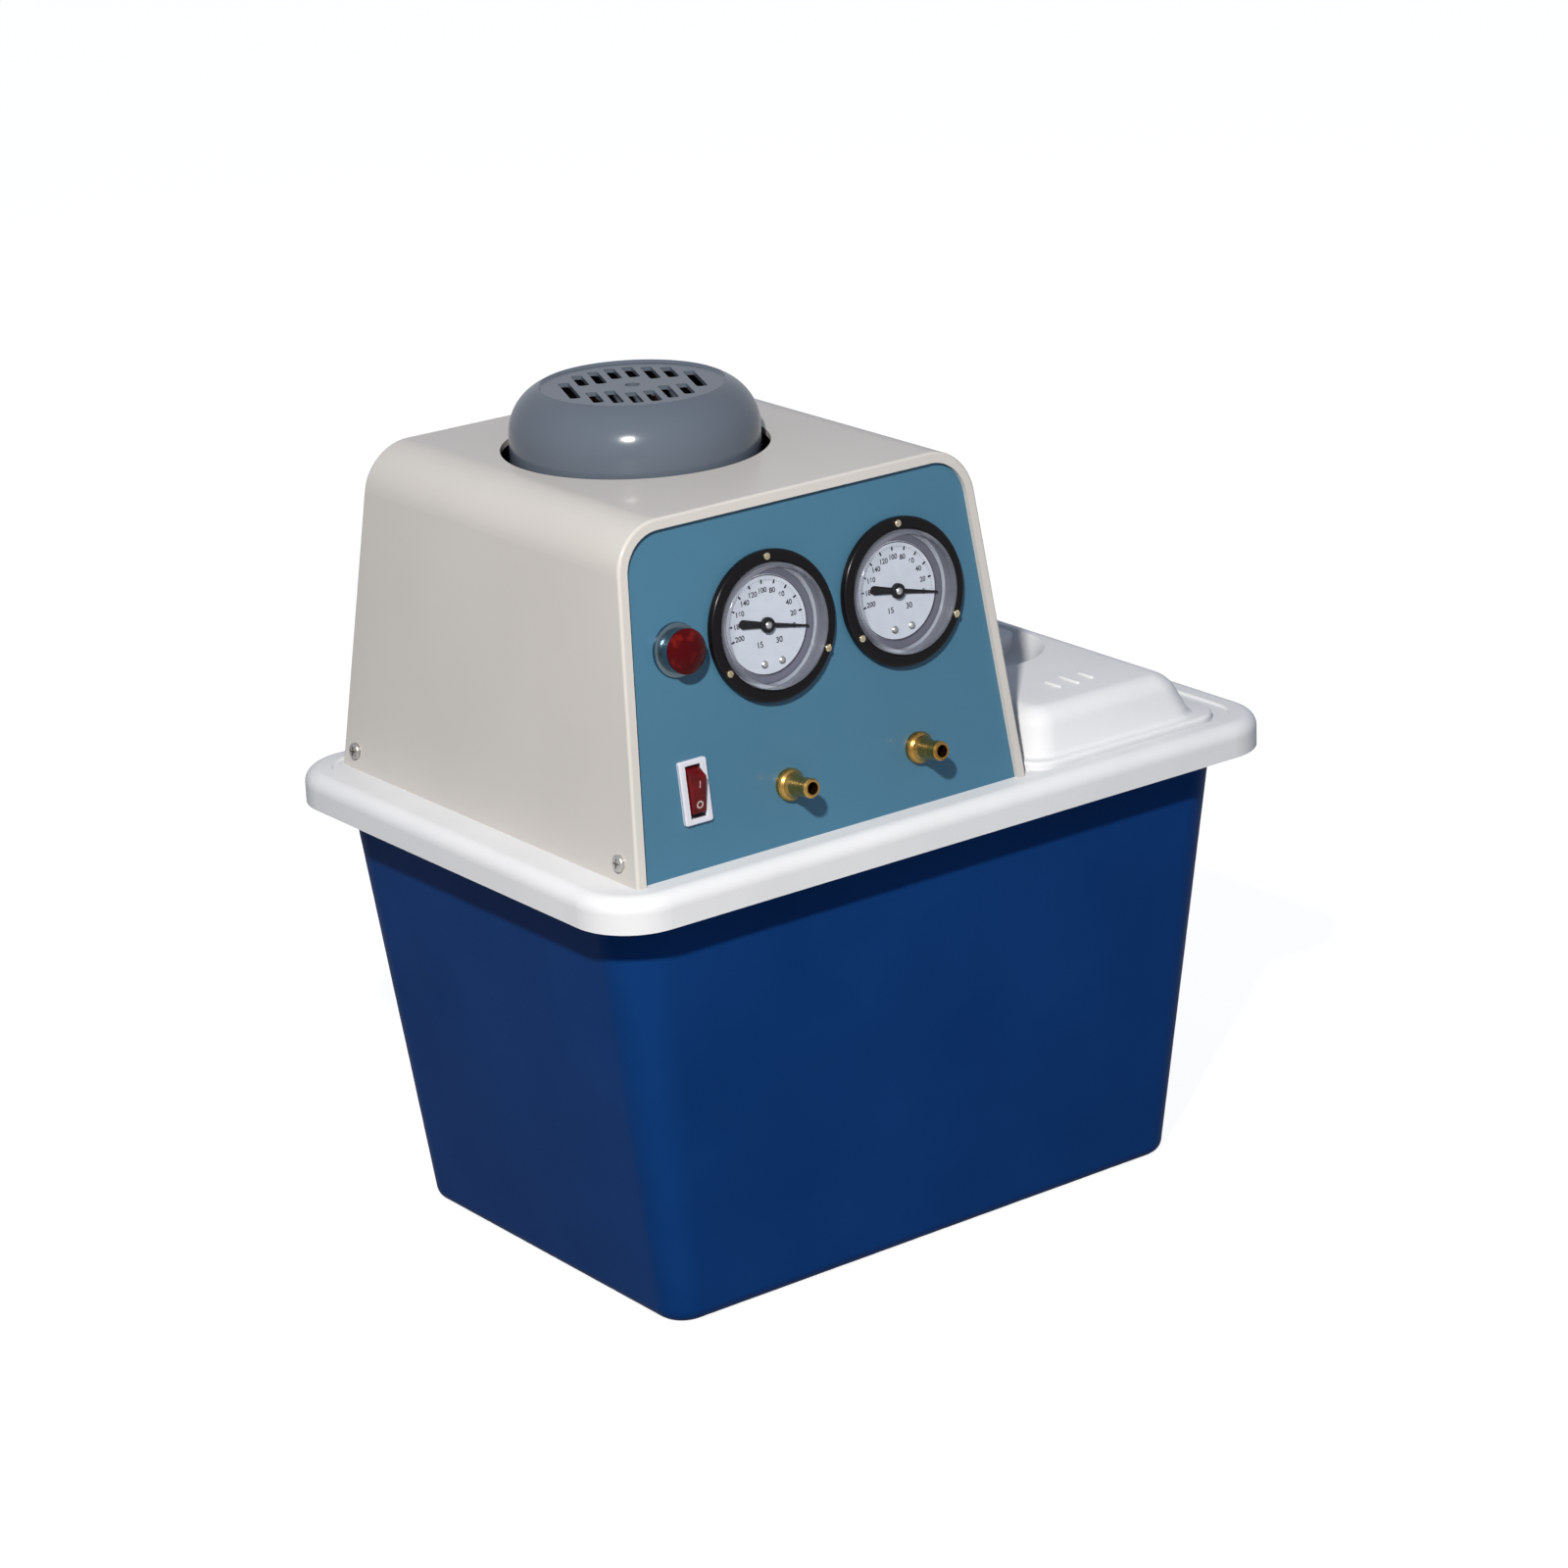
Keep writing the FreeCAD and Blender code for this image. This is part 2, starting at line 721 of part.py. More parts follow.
def make_hood():
    """Thin cover over top and sides, with a rolled lip round the front and back openings."""
    drop = 5.0
    outer = hood_form(0.0, 0.0, 0.0)
    long_edges = []
    for edge in outer.Edges:
        centre = edge.CenterOfMass
        slope = hood_lean / hood_height
        front = abs(centre.y - hood_front_foot - slope * (centre.z - lid_top)) < 0.01
        back = abs(centre.y - hood_back_foot + slope * (centre.z - lid_top)) < 0.01
        if (front or back) and centre.z > lid_top + 0.01:
            long_edges.append(edge)
    outer = outer.makeFillet(hood_lip_edge, long_edges)
    cavity = hood_form(hood_wall, hood_lip_depth, hood_lip_depth, drop)
    opening = hood_form(hood_lip_width, -drop, -drop, drop)
    hood = outer.cut(cavity).cut(opening)
    hood = hood.cut(cylinder(hood_hole_radius, lid_top, 2 * hood_height, motor_x, motor_y))
    for side, y in hood_screw_places():
        hood = hood.cut(screw_rod(side, y, hood_screw_shank + slip_gap, 2 * hood_wall))
    return hood


def hood_screw_places():
    return [(side, y) for side in (-1, 1) for y in (-hood_screw_y, hood_screw_y)]


def screw_origin(side, y):
    """Point on the hood's outer side where a screw sits."""
    foot = hood_left_foot if side < 0 else hood_right_foot
    return V(foot - side * taper_slope * hood_screw_height, y, lid_top + hood_screw_height)


def screw_axis(side):
    angle = math.atan(taper_slope)
    return V(side * math.cos(angle), 0, math.sin(angle))


def screw_rod(side, y, radius, reach, out=1.0):
    """Round bar square to the hood's side, from outside the wall to inside it."""
    axis = screw_axis(side)
    return Part.makeCylinder(radius, reach + out, screw_origin(side, y) + axis * out, axis * -1)


def make_hood_screws():
    """Pan-head screws, two on each side of the hood."""
    screws = []
    for side, y in hood_screw_places():
        axis = screw_axis(side)
        origin = screw_origin(side, y)
        head = Part.makeCylinder(hood_screw_head, hood_screw_head_height, origin, axis)
        top = [edge for edge in head.Edges if edge.Closed and
               edge.CenterOfMass.distanceToPoint(origin + axis * hood_screw_head_height) < 0.01]
        head = head.makeFillet(hood_screw_head_height * 0.6, top)
        shank = Part.makeCylinder(hood_screw_shank, hood_screw_length, origin, axis * -1)
        screw = joined(head, shank)
        for turn in (0, 90):
            slot = Part.makeBox(4.4, 1.0, 2.4, V(-2.2, -0.5, hood_screw_head_height - 1.4))
            slot.rotate(V(0, 0, 0), Z_AXIS, turn)
            slot.Placement = FreeCAD.Placement(origin, FreeCAD.Rotation(Z_AXIS, axis)).multiply(slot.Placement)
            screw = screw.cut(slot)
        screws.append(screw)
    return Part.makeCompound(screws)


def make_lugs():
    """Upstanding lugs on the lid, just inside the hood's sides, that take the screws."""
    inside = hood_form(hood_wall + snug_gap, panel_thickness + hood_lip_depth + 1.0,
                       panel_thickness + hood_lip_depth + 1.0, lid_rim_rise)
    core = hood_form(hood_wall + lug_thickness, 0.0, 0.0, lid_rim_rise)
    band = inside.cut(core)
    lugs = []
    for side, y in hood_screw_places():
        middle = (hood_left_foot if side < 0 else hood_right_foot)
        block = centred_box(40.0, lug_length, lid_top - 0.5, lug_height, middle, y)
        lug = band.common(block)
        lug = lug.cut(screw_rod(side, y, hood_screw_shank + snug_gap, hood_wall + lug_thickness + 2))
        lugs.append(lug)
    return lugs


def suction_hose_points(x):
    """Corner points of a suction hose, from the ejector's barb to the valve's lower barb."""
    tip = ejector_y - ejector_chamber_radius
    lower = nozzle_up - valve_half_length
    return [
        V(x, tip - 1.0, chamber_level),
        V(x, hose_front, chamber_level),
        front_point(x, lower - suction_hose_drop, -valve_depth),
        front_point(x, lower - 1.0, -valve_depth),
    ]


def water_hose_points():
    """Corner points of the circulation hose, from the casing to the outlet valve."""
    lower = outlet_up - valve_body_margin
    x = outlet_valve_x
    return [
        V(x, water_hose_start, pipe_level),
        V(x, water_hose_back, pipe_level),
        back_point(x, lower - water_hose_drop, panel_back - valve_body_depth / 2),
        back_point(x, lower - 1.0, panel_back - valve_body_depth / 2),
    ]


def make_lid():
    """Moulded lid: skirt, rounded shoulder, raised rim, and the openings under hood and cover."""
    height = lid_skirt_height + lid_plate + lid_rim_rise
    body = rounded_block(lid_length, lid_width, lid_corner, skirt_foot, height)
    body = body.makeFillet(lid_shoulder, edges_at(body, skirt_foot + height))
    hollow = rounded_block(lid_length - 2 * lid_wall, lid_width - 2 * lid_wall, lid_corner - lid_wall,
                           skirt_foot, lid_skirt_height)
    body = body.cut(hollow)
    margin = 2 * lid_rim_width
    slope = 1.6
    field = tapered_block(
        (lid_length - margin, lid_width - margin, lid_corner - lid_rim_width, lid_top),
        (lid_length - margin + slope, lid_width - margin + slope,
         lid_corner - lid_rim_width + slope / 2, lid_top + lid_rim_rise))
    body = body.cut(field)
    body = body.cut(cylinder(motor_opening_radius, lid_under, lid_plate, motor_x, motor_y))
    body = body.cut(rounded_block(filler_length, filler_width, filler_corner, lid_under, lid_plate, filler_x))
    bore = hose_radius + hose_hole_gap
    for x in gauge_x:
        points = suction_hose_points(x)
        body = body.cut(swept(Part.Wire([Part.makeLine(points[2], points[3])]), bore))
    points = water_hose_points()
    body = body.cut(swept(Part.Wire([Part.makeLine(points[2], points[3])]), water_hose_radius + hose_hole_gap))
    spout = back_point(return_x, outlet_up, panel_back - spout_reach)
    body = body.cut(cylinder(spout_radius + hose_hole_gap, lid_under, lid_plate, return_x, spout.y))
    for x, y in plate_bolt_places():
        body = body.cut(cylinder(bolt_radius + slip_gap, lid_under, lid_plate, x, y))
    return joined(body, *make_lugs())


def make_filler_cover():
    """Lift-off cover: flange, tapered box, finger recess with a grip bar, and three short ribs."""
    flange = rounded_block(cover_flange_length, cover_flange_width, cover_flange_corner, lid_top,
                           cover_flange_thickness, cover_flange_x)
    flange = flange.makeFillet(1.8, edges_at(flange, cover_flange_top))
    box = tapered_block(
        (cover_foot_length, cover_foot_width, cover_foot_corner, cover_flange_top - 1.8, filler_x),
        (cover_head_length, cover_head_width, cover_head_corner, cover_top, cover_head_x))
    box = box.makeFillet(cover_edge, edges_at(box, cover_top))
    body = joined(flange, box)
    wall = 2 * cover_wall
    hollow = tapered_block(
        (cover_foot_length - 2 * wall, cover_foot_width - 2 * wall, cover_foot_corner - cover_wall,
         lid_top, filler_x),
        (cover_head_length - wall, cover_head_width - wall, cover_head_corner - cover_wall,
         cover_top - cover_wall, cover_head_x))
    bowl = grip_bowl(0.0)
    hollow = hollow.cut(grip_bowl(cover_wall))
    bar = centred_box(grip_length + 2, grip_bar_width, cover_top - grip_depth, grip_depth, cover_head_x)
    bar = bar.makeFillet(3.0, [edge for edge in edges_at(bar, cover_top) if edge.BoundBox.XLength > 1])
    body = body.cut(hollow).cut(bowl.cut(bar))
    lip_outer = rounded_block(filler_length - 2 * slip_gap, filler_width - 2 * slip_gap,
                              filler_corner - slip_gap, lid_top - cover_lip_depth,
                              cover_lip_depth + 1.0, filler_x)
    lip_inner = rounded_block(filler_length - 2 * slip_gap - wall, filler_width - 2 * slip_gap - wall,
                              filler_corner - slip_gap - cover_wall, lid_top - cover_lip_depth,
                              cover_lip_depth + 1.0, filler_x)
    web = rounded_block(cover_flange_length - 4, cover_flange_width - 4, cover_flange_corner - 2, lid_top,
                        cover_wall, cover_flange_x)
    web = web.cut(rounded_block(filler_length - 2 * slip_gap - wall, filler_width - 2 * slip_gap - wall,
                                filler_corner - slip_gap - cover_wall, lid_top, cover_wall, filler_x))
    body = joined(body, lip_outer.cut(lip_inner), web)
    for index, length in enumerate(rib_lengths):
        x = cover_head_x + (index - 1) * rib_spacing
        rib = rounded_block(rib_width, length, rib_width * 0.45, cover_top - 0.5, rib_rise + 0.5, x, rib_y)
        body = body.fuse(rib)
    return body.removeSplitter()


def grip_bowl(skin):
    """Rounded hollow of the finger recess, grown by skin for the wall under it."""
    length = grip_length + 2 * skin
    width = grip_width + 2 * skin
    depth = grip_depth + skin
    end_radius = min(length, width) / 2 - 0.01
    bowl = tapered_block(
        (length - 2 * grip_draft, width - 2 * grip_draft, end_radius - grip_draft,
         cover_top - depth, cover_head_x),
        (length, width, end_radius, cover_top + skin * 0.01, cover_head_x))
    return bowl.makeFillet(grip_edge, edges_at(bowl, cover_top - depth))


def make_front_panel():
    """Flat panel behind the hood's front lip, with holes for everything mounted on it."""
    inset = hood_wall + slip_gap
    panel = hood_form(inset, hood_lip_depth, 0.0).cut(hood_form(0.0, -panel_back, -1.0, 5.0))
    for x in gauge_x:
        panel = panel.cut(on_front(cylinder(case_radius + slip_gap, panel_back - 1, 5), x, gauge_up))
        panel = panel.cut(on_front(cylinder(nozzle_shank_radius + slip_gap, panel_back - 1, 5), x, nozzle_up))
        for angle in gauge_screw_angles:
            hole = cylinder(gauge_screw_shank + snug_gap, panel_back - 1, 5, gauge_screw_circle)
            panel = panel.cut(on_front(turned(hole, angle), x, gauge_up))
    panel = panel.cut(on_front(cylinder(lamp_tail_radius + slip_gap, panel_back - 1, 5), lamp_x, gauge_up))
    hole = centred_box(switch_body_width + 2 * slip_gap, switch_body_height + 2 * slip_gap, panel_back - 1, 5)
    return panel.cut(on_front(hole, switch_x, switch_up))


def make_back_panel():
    """Flat panel behind the hood's back lip."""
    inset = hood_wall + slip_gap
    panel = hood_form(inset, 0.0, hood_lip_depth).cut(hood_form(0.0, -1.0, -panel_back, 5.0))
    holes = (
        (nozzle_shank_radius + slip_gap, outlet_valve_x, outlet_up),
        (knob_spindle_radius + slip_gap, outlet_valve_x, knob_up),
        (spout_radius + slip_gap, return_x, outlet_up),
        (fuse_body_radius + slip_gap, fuse_x, fuse_up),
        (gland_thread_radius + slip_gap, gland_x, gland_up),
    )
    for radius, x, up in holes:
        panel = panel.cut(on_back(cylinder(radius, panel_back - 1, 5), x, up))
    return panel


def make_bezel():
    """Black front ring of a gauge, with its inner and outer edges rounded."""
    foot = panel_face + case_flange_thickness
    body = ring(bezel_radius, bezel_opening, foot, bezel_thickness - case_flange_thickness)
    body = body.makeFillet(bezel_edge, edges_at(body, panel_face + bezel_thickness))
    hole = cylinder(gauge_screw_shank + snug_gap, foot - 1, bezel_thickness + 2, gauge_screw_circle)
    return body.cut([turned(hole, angle) for angle in gauge_screw_angles])


def make_gauge_case():
    """Cup behind the panel, with the movement post, the dial's ledge and the hose stem."""
    foot = panel_face - case_depth
    top = panel_face + case_flange_thickness
    body = cylinder(case_radius, foot, top - foot)
    flange = cylinder(bezel_radius - 0.5, panel_face, case_flange_thickness)
    body = joined(body, flange)
    inner = case_radius - case_wall
    dial_under = panel_face - dial_depth - dial_thickness
    body = body.cut(cylinder(inner, dial_under, top - dial_under))
    body = body.cut(cylinder(inner - case_ledge, foot + case_wall, dial_under - foot - case_wall))
    post = cylinder(movement_radius, foot + case_wall - 0.5, movement_height)
    body = body.fuse(post)
    stem = cylinder(stem_radius, foot - stem_length, stem_length + 0.5)
    barb = cylinder(stem_barb_radius, foot - stem_length - stem_barb_length, stem_barb_length + 0.5)
    body = joined(body, stem, barb)
    body = body.cut(cylinder(spindle_radius + snug_gap, foot + case_wall + 2, case_depth))
    hole = cylinder(gauge_screw_shank + snug_gap, panel_face - 1, 4, gauge_screw_circle)
    return body.cut([turned(hole, angle) for angle in gauge_screw_angles])


def make_dial():
    radius = case_radius - case_wall - slip_gap
    top = panel_face - dial_depth
    return ring(radius, dial_hole_radius, top - dial_thickness, dial_thickness)


def make_lens():
    """Clear cup that stands a little proud of the bezel."""
    top = panel_face + bezel_thickness + lens_rise
    foot = panel_face - dial_depth
    radius = bezel_opening - snug_gap
    cup = cylinder(radius, foot, top - foot)
    cup = cup.makeFillet(lens_edge, edges_at(cup, top))
    return cup.cut(cylinder(radius - lens_wall, foot, top - foot - lens_wall))


def make_pointer():
    """Needle, round-ended tail, hub and spindle."""
    foot = panel_face - dial_depth + pointer_lift
    outline = [
        V(0, pointer_root_width / 2, foot), V(pointer_reach, pointer_tip_width / 2, foot),
        V(pointer_reach, -pointer_tip_width / 2, foot), V(0, -pointer_root_width / 2, foot),
        V(-pointer_tail, -pointer_tail_width / 2, foot), V(-pointer_tail, pointer_tail_width / 2, foot),
    ]
    blade = Part.Face(Part.makePolygon(outline + [outline[0]])).extrude(V(0, 0, pointer_thickness))
    tail = cylinder(pointer_tail_width / 2, foot, pointer_thickness, -pointer_tail)
    hub = cylinder(pointer_hub_radius, foot, pointer_hub_height)
    hub = hub.makeFillet(0.6, edges_at(hub, foot + pointer_hub_height))
    spindle_foot = panel_face - case_depth + case_wall + 3
    spindle = cylinder(spindle_radius, spindle_foot, foot - spindle_foot + 0.5)
    return turned(joined(blade, tail, hub, spindle), pointer_rest_angle)


def make_gauge_screws():
    """Three small screws in each bezel."""
    top = panel_face + bezel_thickness
    head = cylinder(gauge_screw_head, top, gauge_screw_head_height, gauge_screw_circle)
    head = head.makeFillet(0.5, edges_at(head, top + gauge_screw_head_height))
    shank = cylinder(gauge_screw_shank, panel_back, top - panel_back + 0.2, gauge_screw_circle)
    slot = centred_box(0.5, 4.0, top + gauge_screw_head_height - 0.5, 1.0, gauge_screw_circle)
    screw = joined(head, shank).cut(slot)
    screws = []
    for x in gauge_x:
        screws += [on_front(turned(screw, angle), x, gauge_up) for angle in gauge_screw_angles]
    return Part.makeCompound(screws)


def make_lamp_bezel():
    """Chromed flange and sleeve, with the lamp's body behind the panel."""
    flange = cylinder(lamp_flange_radius, panel_face, lamp_flange_thickness)
    flange = flange.makeFillet(0.9, edges_at(flange, panel_face + lamp_flange_thickness))
    sleeve = cylinder(lamp_sleeve_radius, panel_face, lamp_sleeve_height)
    sleeve = sleeve.makeFillet(0.6, edges_at(sleeve, panel_face + lamp_sleeve_height))
    tail = cylinder(lamp_tail_radius, panel_face - lamp_tail_length, lamp_tail_length)
    nut = Part.makeCylinder(lamp_flange_radius, 3.0, V(0, 0, panel_back - 3.0))
    body = joined(flange, sleeve, tail, nut)
    return body.cut(cylinder(lamp_lens_radius + snug_gap, panel_face + 1.5, lamp_sleeve_height))


def make_lamp_lens():
    """Domed red lens."""
    foot = panel_face + 1.5
    shoulder = panel_face + lamp_sleeve_height
    top = panel_face + lamp_lens_height
    rise = top - shoulder
    curve = (lamp_lens_radius ** 2 + rise ** 2) / (2 * rise)
    body = cylinder(lamp_lens_radius, foot, top - foot)
    return body.common(Part.makeSphere(curve, V(0, 0, top - curve)).fuse(
        cylinder(lamp_lens_radius, foot, shoulder - foot)))


def make_switch_frame():
    """White frame and body with the rocker's well and pivot holes."""
    plate = rounded_block(switch_width, switch_height, switch_corner, panel_face, switch_plate)
    plate = plate.makeFillet(0.6, edges_at(plate, panel_face + switch_plate))
    body = centred_box(switch_body_width, switch_body_height, panel_face - switch_body_depth,
                       switch_body_depth + 0.5)
    frame = joined(plate, body)
    well_width = rocker_width + 4 * slip_gap
    well_half = rocker_half + rocker_end_gap
    pivot = panel_face - rocker_pivot_drop
    well = centred_box(well_width, 2 * well_half, pivot - rocker_belly - 2.5, 30.0)
    frame = frame.cut(well)
    pin = Part.makeCylinder(rocker_pin_radius + snug_gap, switch_body_width - switch_wall,
                            V(-(switch_body_width - switch_wall) / 2, 0, pivot), X_AXIS)
    return frame.cut(pin)


def make_rocker():
    """Two-faced rocker on a pin, tilted so that its lower half is pressed."""
    pivot = panel_face - rocker_pivot_drop
    rise = rocker_half * math.tan(math.radians(rocker_tilt))
    outline = [
        V(0, -rocker_half, rocker_face + rise), V(0, 0, rocker_face), V(0, rocker_half, rocker_face + rise),
        V(0, rocker_half, 0.5), V(0, rocker_half * 0.45, -rocker_belly),
        V(0, -rocker_half * 0.45, -rocker_belly), V(0, -rocker_half, 0.5),
    ]
    body = Part.Face(Part.makePolygon(outline + [outline[0]])).extrude(V(rocker_width, 0, 0))
    body.translate(V(-rocker_width / 2, 0, 0))
    pin = Part.makeCylinder(rocker_pin_radius, switch_body_width - switch_wall - 2 * slip_gap,
                            V(-(switch_body_width - switch_wall) / 2 + slip_gap, 0, 0), X_AXIS)
    rocker = joined(body, pin)
    rocker.rotate(V(0, 0, 0), X_AXIS, rocker_tilt)
    rocker.translate(V(0, 0, pivot))
    return rocker


def make_suction_nozzle():
    """Turned brass nozzle: domed flange, cone, barb and a bored shank behind the panel."""
    step = nozzle_flange_thickness
    tip = panel_face + nozzle_length
    barb_end = tip - 1.0
    barb_start = barb_end - nozzle_barb_length
    points = [
        (nozzle_bore, panel_face - nozzle_shank_length), (nozzle_shank_radius, panel_face - nozzle_shank_length),
        (nozzle_shank_radius, panel_face), (nozzle_flange_radius, panel_face),
        (nozzle_flange_radius, panel_face + step * 0.7), (nozzle_flange_radius - 0.5, panel_face + step),
        (nozzle_neck_radius + 0.9, panel_face + step + 1.2), (nozzle_neck_radius, panel_face + step + 3.0),
        (nozzle_waist_radius, barb_start - 1.0), (nozzle_barb_radius, barb_start),
        (nozzle_barb_radius, barb_end), (nozzle_tip_radius, tip), (nozzle_bore, tip),
    ]
    return revolved(points)


def make_check_valve():
    """Tee behind the nozzle: side port, lower barb to the ejector and upper barb to the gauge."""
    body = Part.makeCylinder(valve_radius, 2 * valve_half_length, V(0, -valve_half_length, -valve_depth), Y_AXIS)
    lower = Part.makeCylinder(valve_barb_radius, valve_barb_length + 1,
                              V(0, -valve_half_length - valve_barb_length, -valve_depth), Y_AXIS)
    upper = Part.makeCylinder(stem_barb_radius, stem_barb_length + 1,
                              V(0, valve_half_length - 1, -valve_depth), Y_AXIS)
    port = Part.makeCylinder(valve_port_radius, valve_depth - 8.0, V(0, 0, -valve_depth), Z_AXIS)
    body = joined(body, lower, upper, port)
    seat = panel_face - nozzle_shank_length
    body = body.cut(cylinder(nozzle_shank_radius + snug_gap, seat - slip_gap, nozzle_shank_length))
    return body.cut(Part.makeCylinder(valve_bore, valve_half_length + valve_barb_length,
                                      V(0, -valve_half_length - valve_barb_length, -valve_depth), Y_AXIS))


def make_suction_hose(x):
    return hose(suction_hose_points(x), hose_bend, hose_radius, valve_barb_radius + snug_gap)


def make_gauge_hose(x):
    """Thin hose from the valve up and round to the back of the gauge."""
    start = nozzle_up + valve_half_length + 1.0
    stem_tip = panel_face - case_depth - stem_length
    points = [
        front_point(x, start, -valve_depth),
        front_point(x, start + stem_barb_length + gauge_hose_rise, -valve_depth),
        front_point(x, start + stem_barb_length + gauge_hose_rise, -gauge_hose_depth),
        front_point(x, gauge_up, -gauge_hose_depth),
        front_point(x, gauge_up, stem_tip - 0.5),
    ]
    return hose(points, gauge_hose_bend, gauge_hose_radius, stem_barb_radius + snug_gap)


def make_outlet_valve():
    """Brass outlet nozzle with its valve body behind the back panel."""
    step = nozzle_flange_thickness
    barb_start = panel_face + water_nozzle_length - 1.0 - water_nozzle_barb
    points = [
        (0.0, panel_back - 1.0), (nozzle_shank_radius, panel_back - 1.0), (nozzle_shank_radius, panel_face),
        (water_nozzle_flange, panel_face), (water_nozzle_flange, panel_face + step),
        (water_nozzle_tip, panel_face + step + 2.0), (water_nozzle_tip - 0.8, barb_start - 1.2),
        (water_nozzle_tip, barb_start), (water_nozzle_tip, barb_start + water_nozzle_barb),
        (water_nozzle_tip - 0.8, panel_face + water_nozzle_length), (0.0, panel_face + water_nozzle_length),
    ]
    nozzle = revolved(points)
    rise = knob_up - outlet_up
    body = Part.makeBox(valve_body_width, rise + 2 * valve_body_margin, valve_body_depth,
                        V(-valve_body_width / 2, -valve_body_margin, panel_back - valve_body_depth))
    body = body.makeFillet(3.0, [edge for edge in body.Edges if abs(edge.BoundBox.ZLength - valve_body_depth) < 0.01])
    barb = Part.makeCylinder(water_hose_bore - snug_gap, valve_barb_length + 1,
                             V(0, -valve_body_margin - valve_barb_length, panel_back - valve_body_depth / 2), Y_AXIS)
    whole = joined(nozzle, body, barb)
    whole = whole.cut(cylinder(water_nozzle_bore, panel_back - valve_body_depth / 2, 60.0))
    whole = whole.cut(Part.makeCylinder(water_nozzle_bore, valve_body_margin + valve_barb_length + 1,
                                        V(0, -valve_body_margin - valve_barb_length - 1,
                                          panel_back - valve_body_depth / 2), Y_AXIS))
    spindle = Part.makeCylinder(knob_spindle_radius + snug_gap, knob_spindle_length,
                                V(0, rise, panel_face - knob_spindle_length - slip_gap), Z_AXIS)
    return whole.cut(spindle)


def make_knob():
    """Fluted knob with a pointer bar, on a spindle."""
    foot = panel_face + turn_gap
    base = cylinder(knob_radius, foot, knob_base)
    base = base.cut(around(cylinder(knob_flute_radius, foot, knob_base, knob_radius), knob_flutes))
    bar = centred_box(knob_bar_width, 2 * knob_radius - 3.0, foot, knob_height)
    bar = bar.makeFillet(2.0, edges_at(bar, foot + knob_height))
    spindle = cylinder(knob_spindle_radius, panel_face - knob_spindle_length + 1.0, knob_spindle_length)
    return joined(base, bar, spindle)


def make_return_spout():
    """Return nozzle whose pipe turns down behind the back panel and through the lid."""
    step = nozzle_flange_thickness
    flange = on_back(cylinder(water_nozzle_flange, panel_face, step), return_x, outlet_up)
    tip = back_point(return_x, outlet_up, panel_face + water_nozzle_length)
    turn = back_point(return_x, outlet_up, panel_back - spout_reach)
    points = [tip, turn, V(turn.x, turn.y, turn.z - spout_drop)]
    path = bent_path(points, spout_bend)
    return joined(swept(path, spout_radius), flange).cut(swept(path, water_nozzle_bore))


def make_fuse_holder():
    flange = cylinder(fuse_flange_radius, panel_face, fuse_flange_thickness)
    flange = flange.makeChamfer(0.6, edges_at(flange, panel_face + fuse_flange_thickness))
    body = cylinder(fuse_body_radius, panel_face - fuse_body_length, fuse_body_length)
    holder = joined(flange, body)
    return holder.cut(cylinder(fuse_bore + snug_gap, panel_face - fuse_body_length + 3.0, fuse_body_length + 5.0))


def make_fuse_cap():
    """Bayonet cap with a coin slot."""
    foot = panel_face + fuse_flange_thickness + slip_gap
    head = cylinder(fuse_cap_radius, foot, fuse_cap_height)
    head = head.makeFillet(1.2, edges_at(head, foot + fuse_cap_height))
    stem = cylinder(fuse_bore, foot - fuse_cap_stem_length, fuse_cap_stem_length + 0.5)
    slot = centred_box(1.6, 10.0, foot + fuse_cap_height - 1.6, 2.0)
    return joined(head, stem).cut(slot)


def make_gland():
    """Cable gland: hexagon, dome nut and thread, bored for the lead."""
    sides = 6
    corners = []
    for index in range(sides):
        angle = index * 2 * math.pi / sides
        corners.append(V(gland_hex_radius * math.cos(angle), gland_hex_radius * math.sin(angle), panel_face))
    hexagon = Part.Face(Part.makePolygon(corners + [corners[0]])).extrude(V(0, 0, gland_hex_height))
    dome = cylinder(gland_dome_radius, panel_face, gland_dome_height)
    dome = dome.makeFillet(3.0, edges_at(dome, panel_face + gland_dome_height))
    thread = cylinder(gland_thread_radius, panel_face - gland_thread_length, gland_thread_length)
    bore = cylinder(gland_bore, panel_face - gland_thread_length, gland_thread_length + gland_dome_height)
    return joined(hexagon, dome, thread).cut(bore)


def plate_bolt_places():
    half = plate_bolt_spacing / 2
    return [(motor_x + sx * half, motor_y + sy * half) for sx in (-1, 1) for sy in (-1, 1)]


def make_motor_bolts():
    """Bolts through the motor's foot plate and the lid, each with its nut below."""
    top = lid_top + foot_plate_thickness
    bolts = []
    for x, y in plate_bolt_places():
        head = cylinder(bolt_head_radius, top, bolt_head_height, x, y)
        head = head.makeChamfer(0.6, edges_at(head, top + bolt_head_height))
        shank = cylinder(bolt_radius, lid_under - bolt_head_height - 1, top - lid_under + bolt_head_height + 2, x, y)
        nut = cylinder(bolt_head_radius, lid_under - bolt_head_height, bolt_head_height, x, y)
        bolts.append(joined(head, shank, nut))
    return Part.makeCompound(bolts)


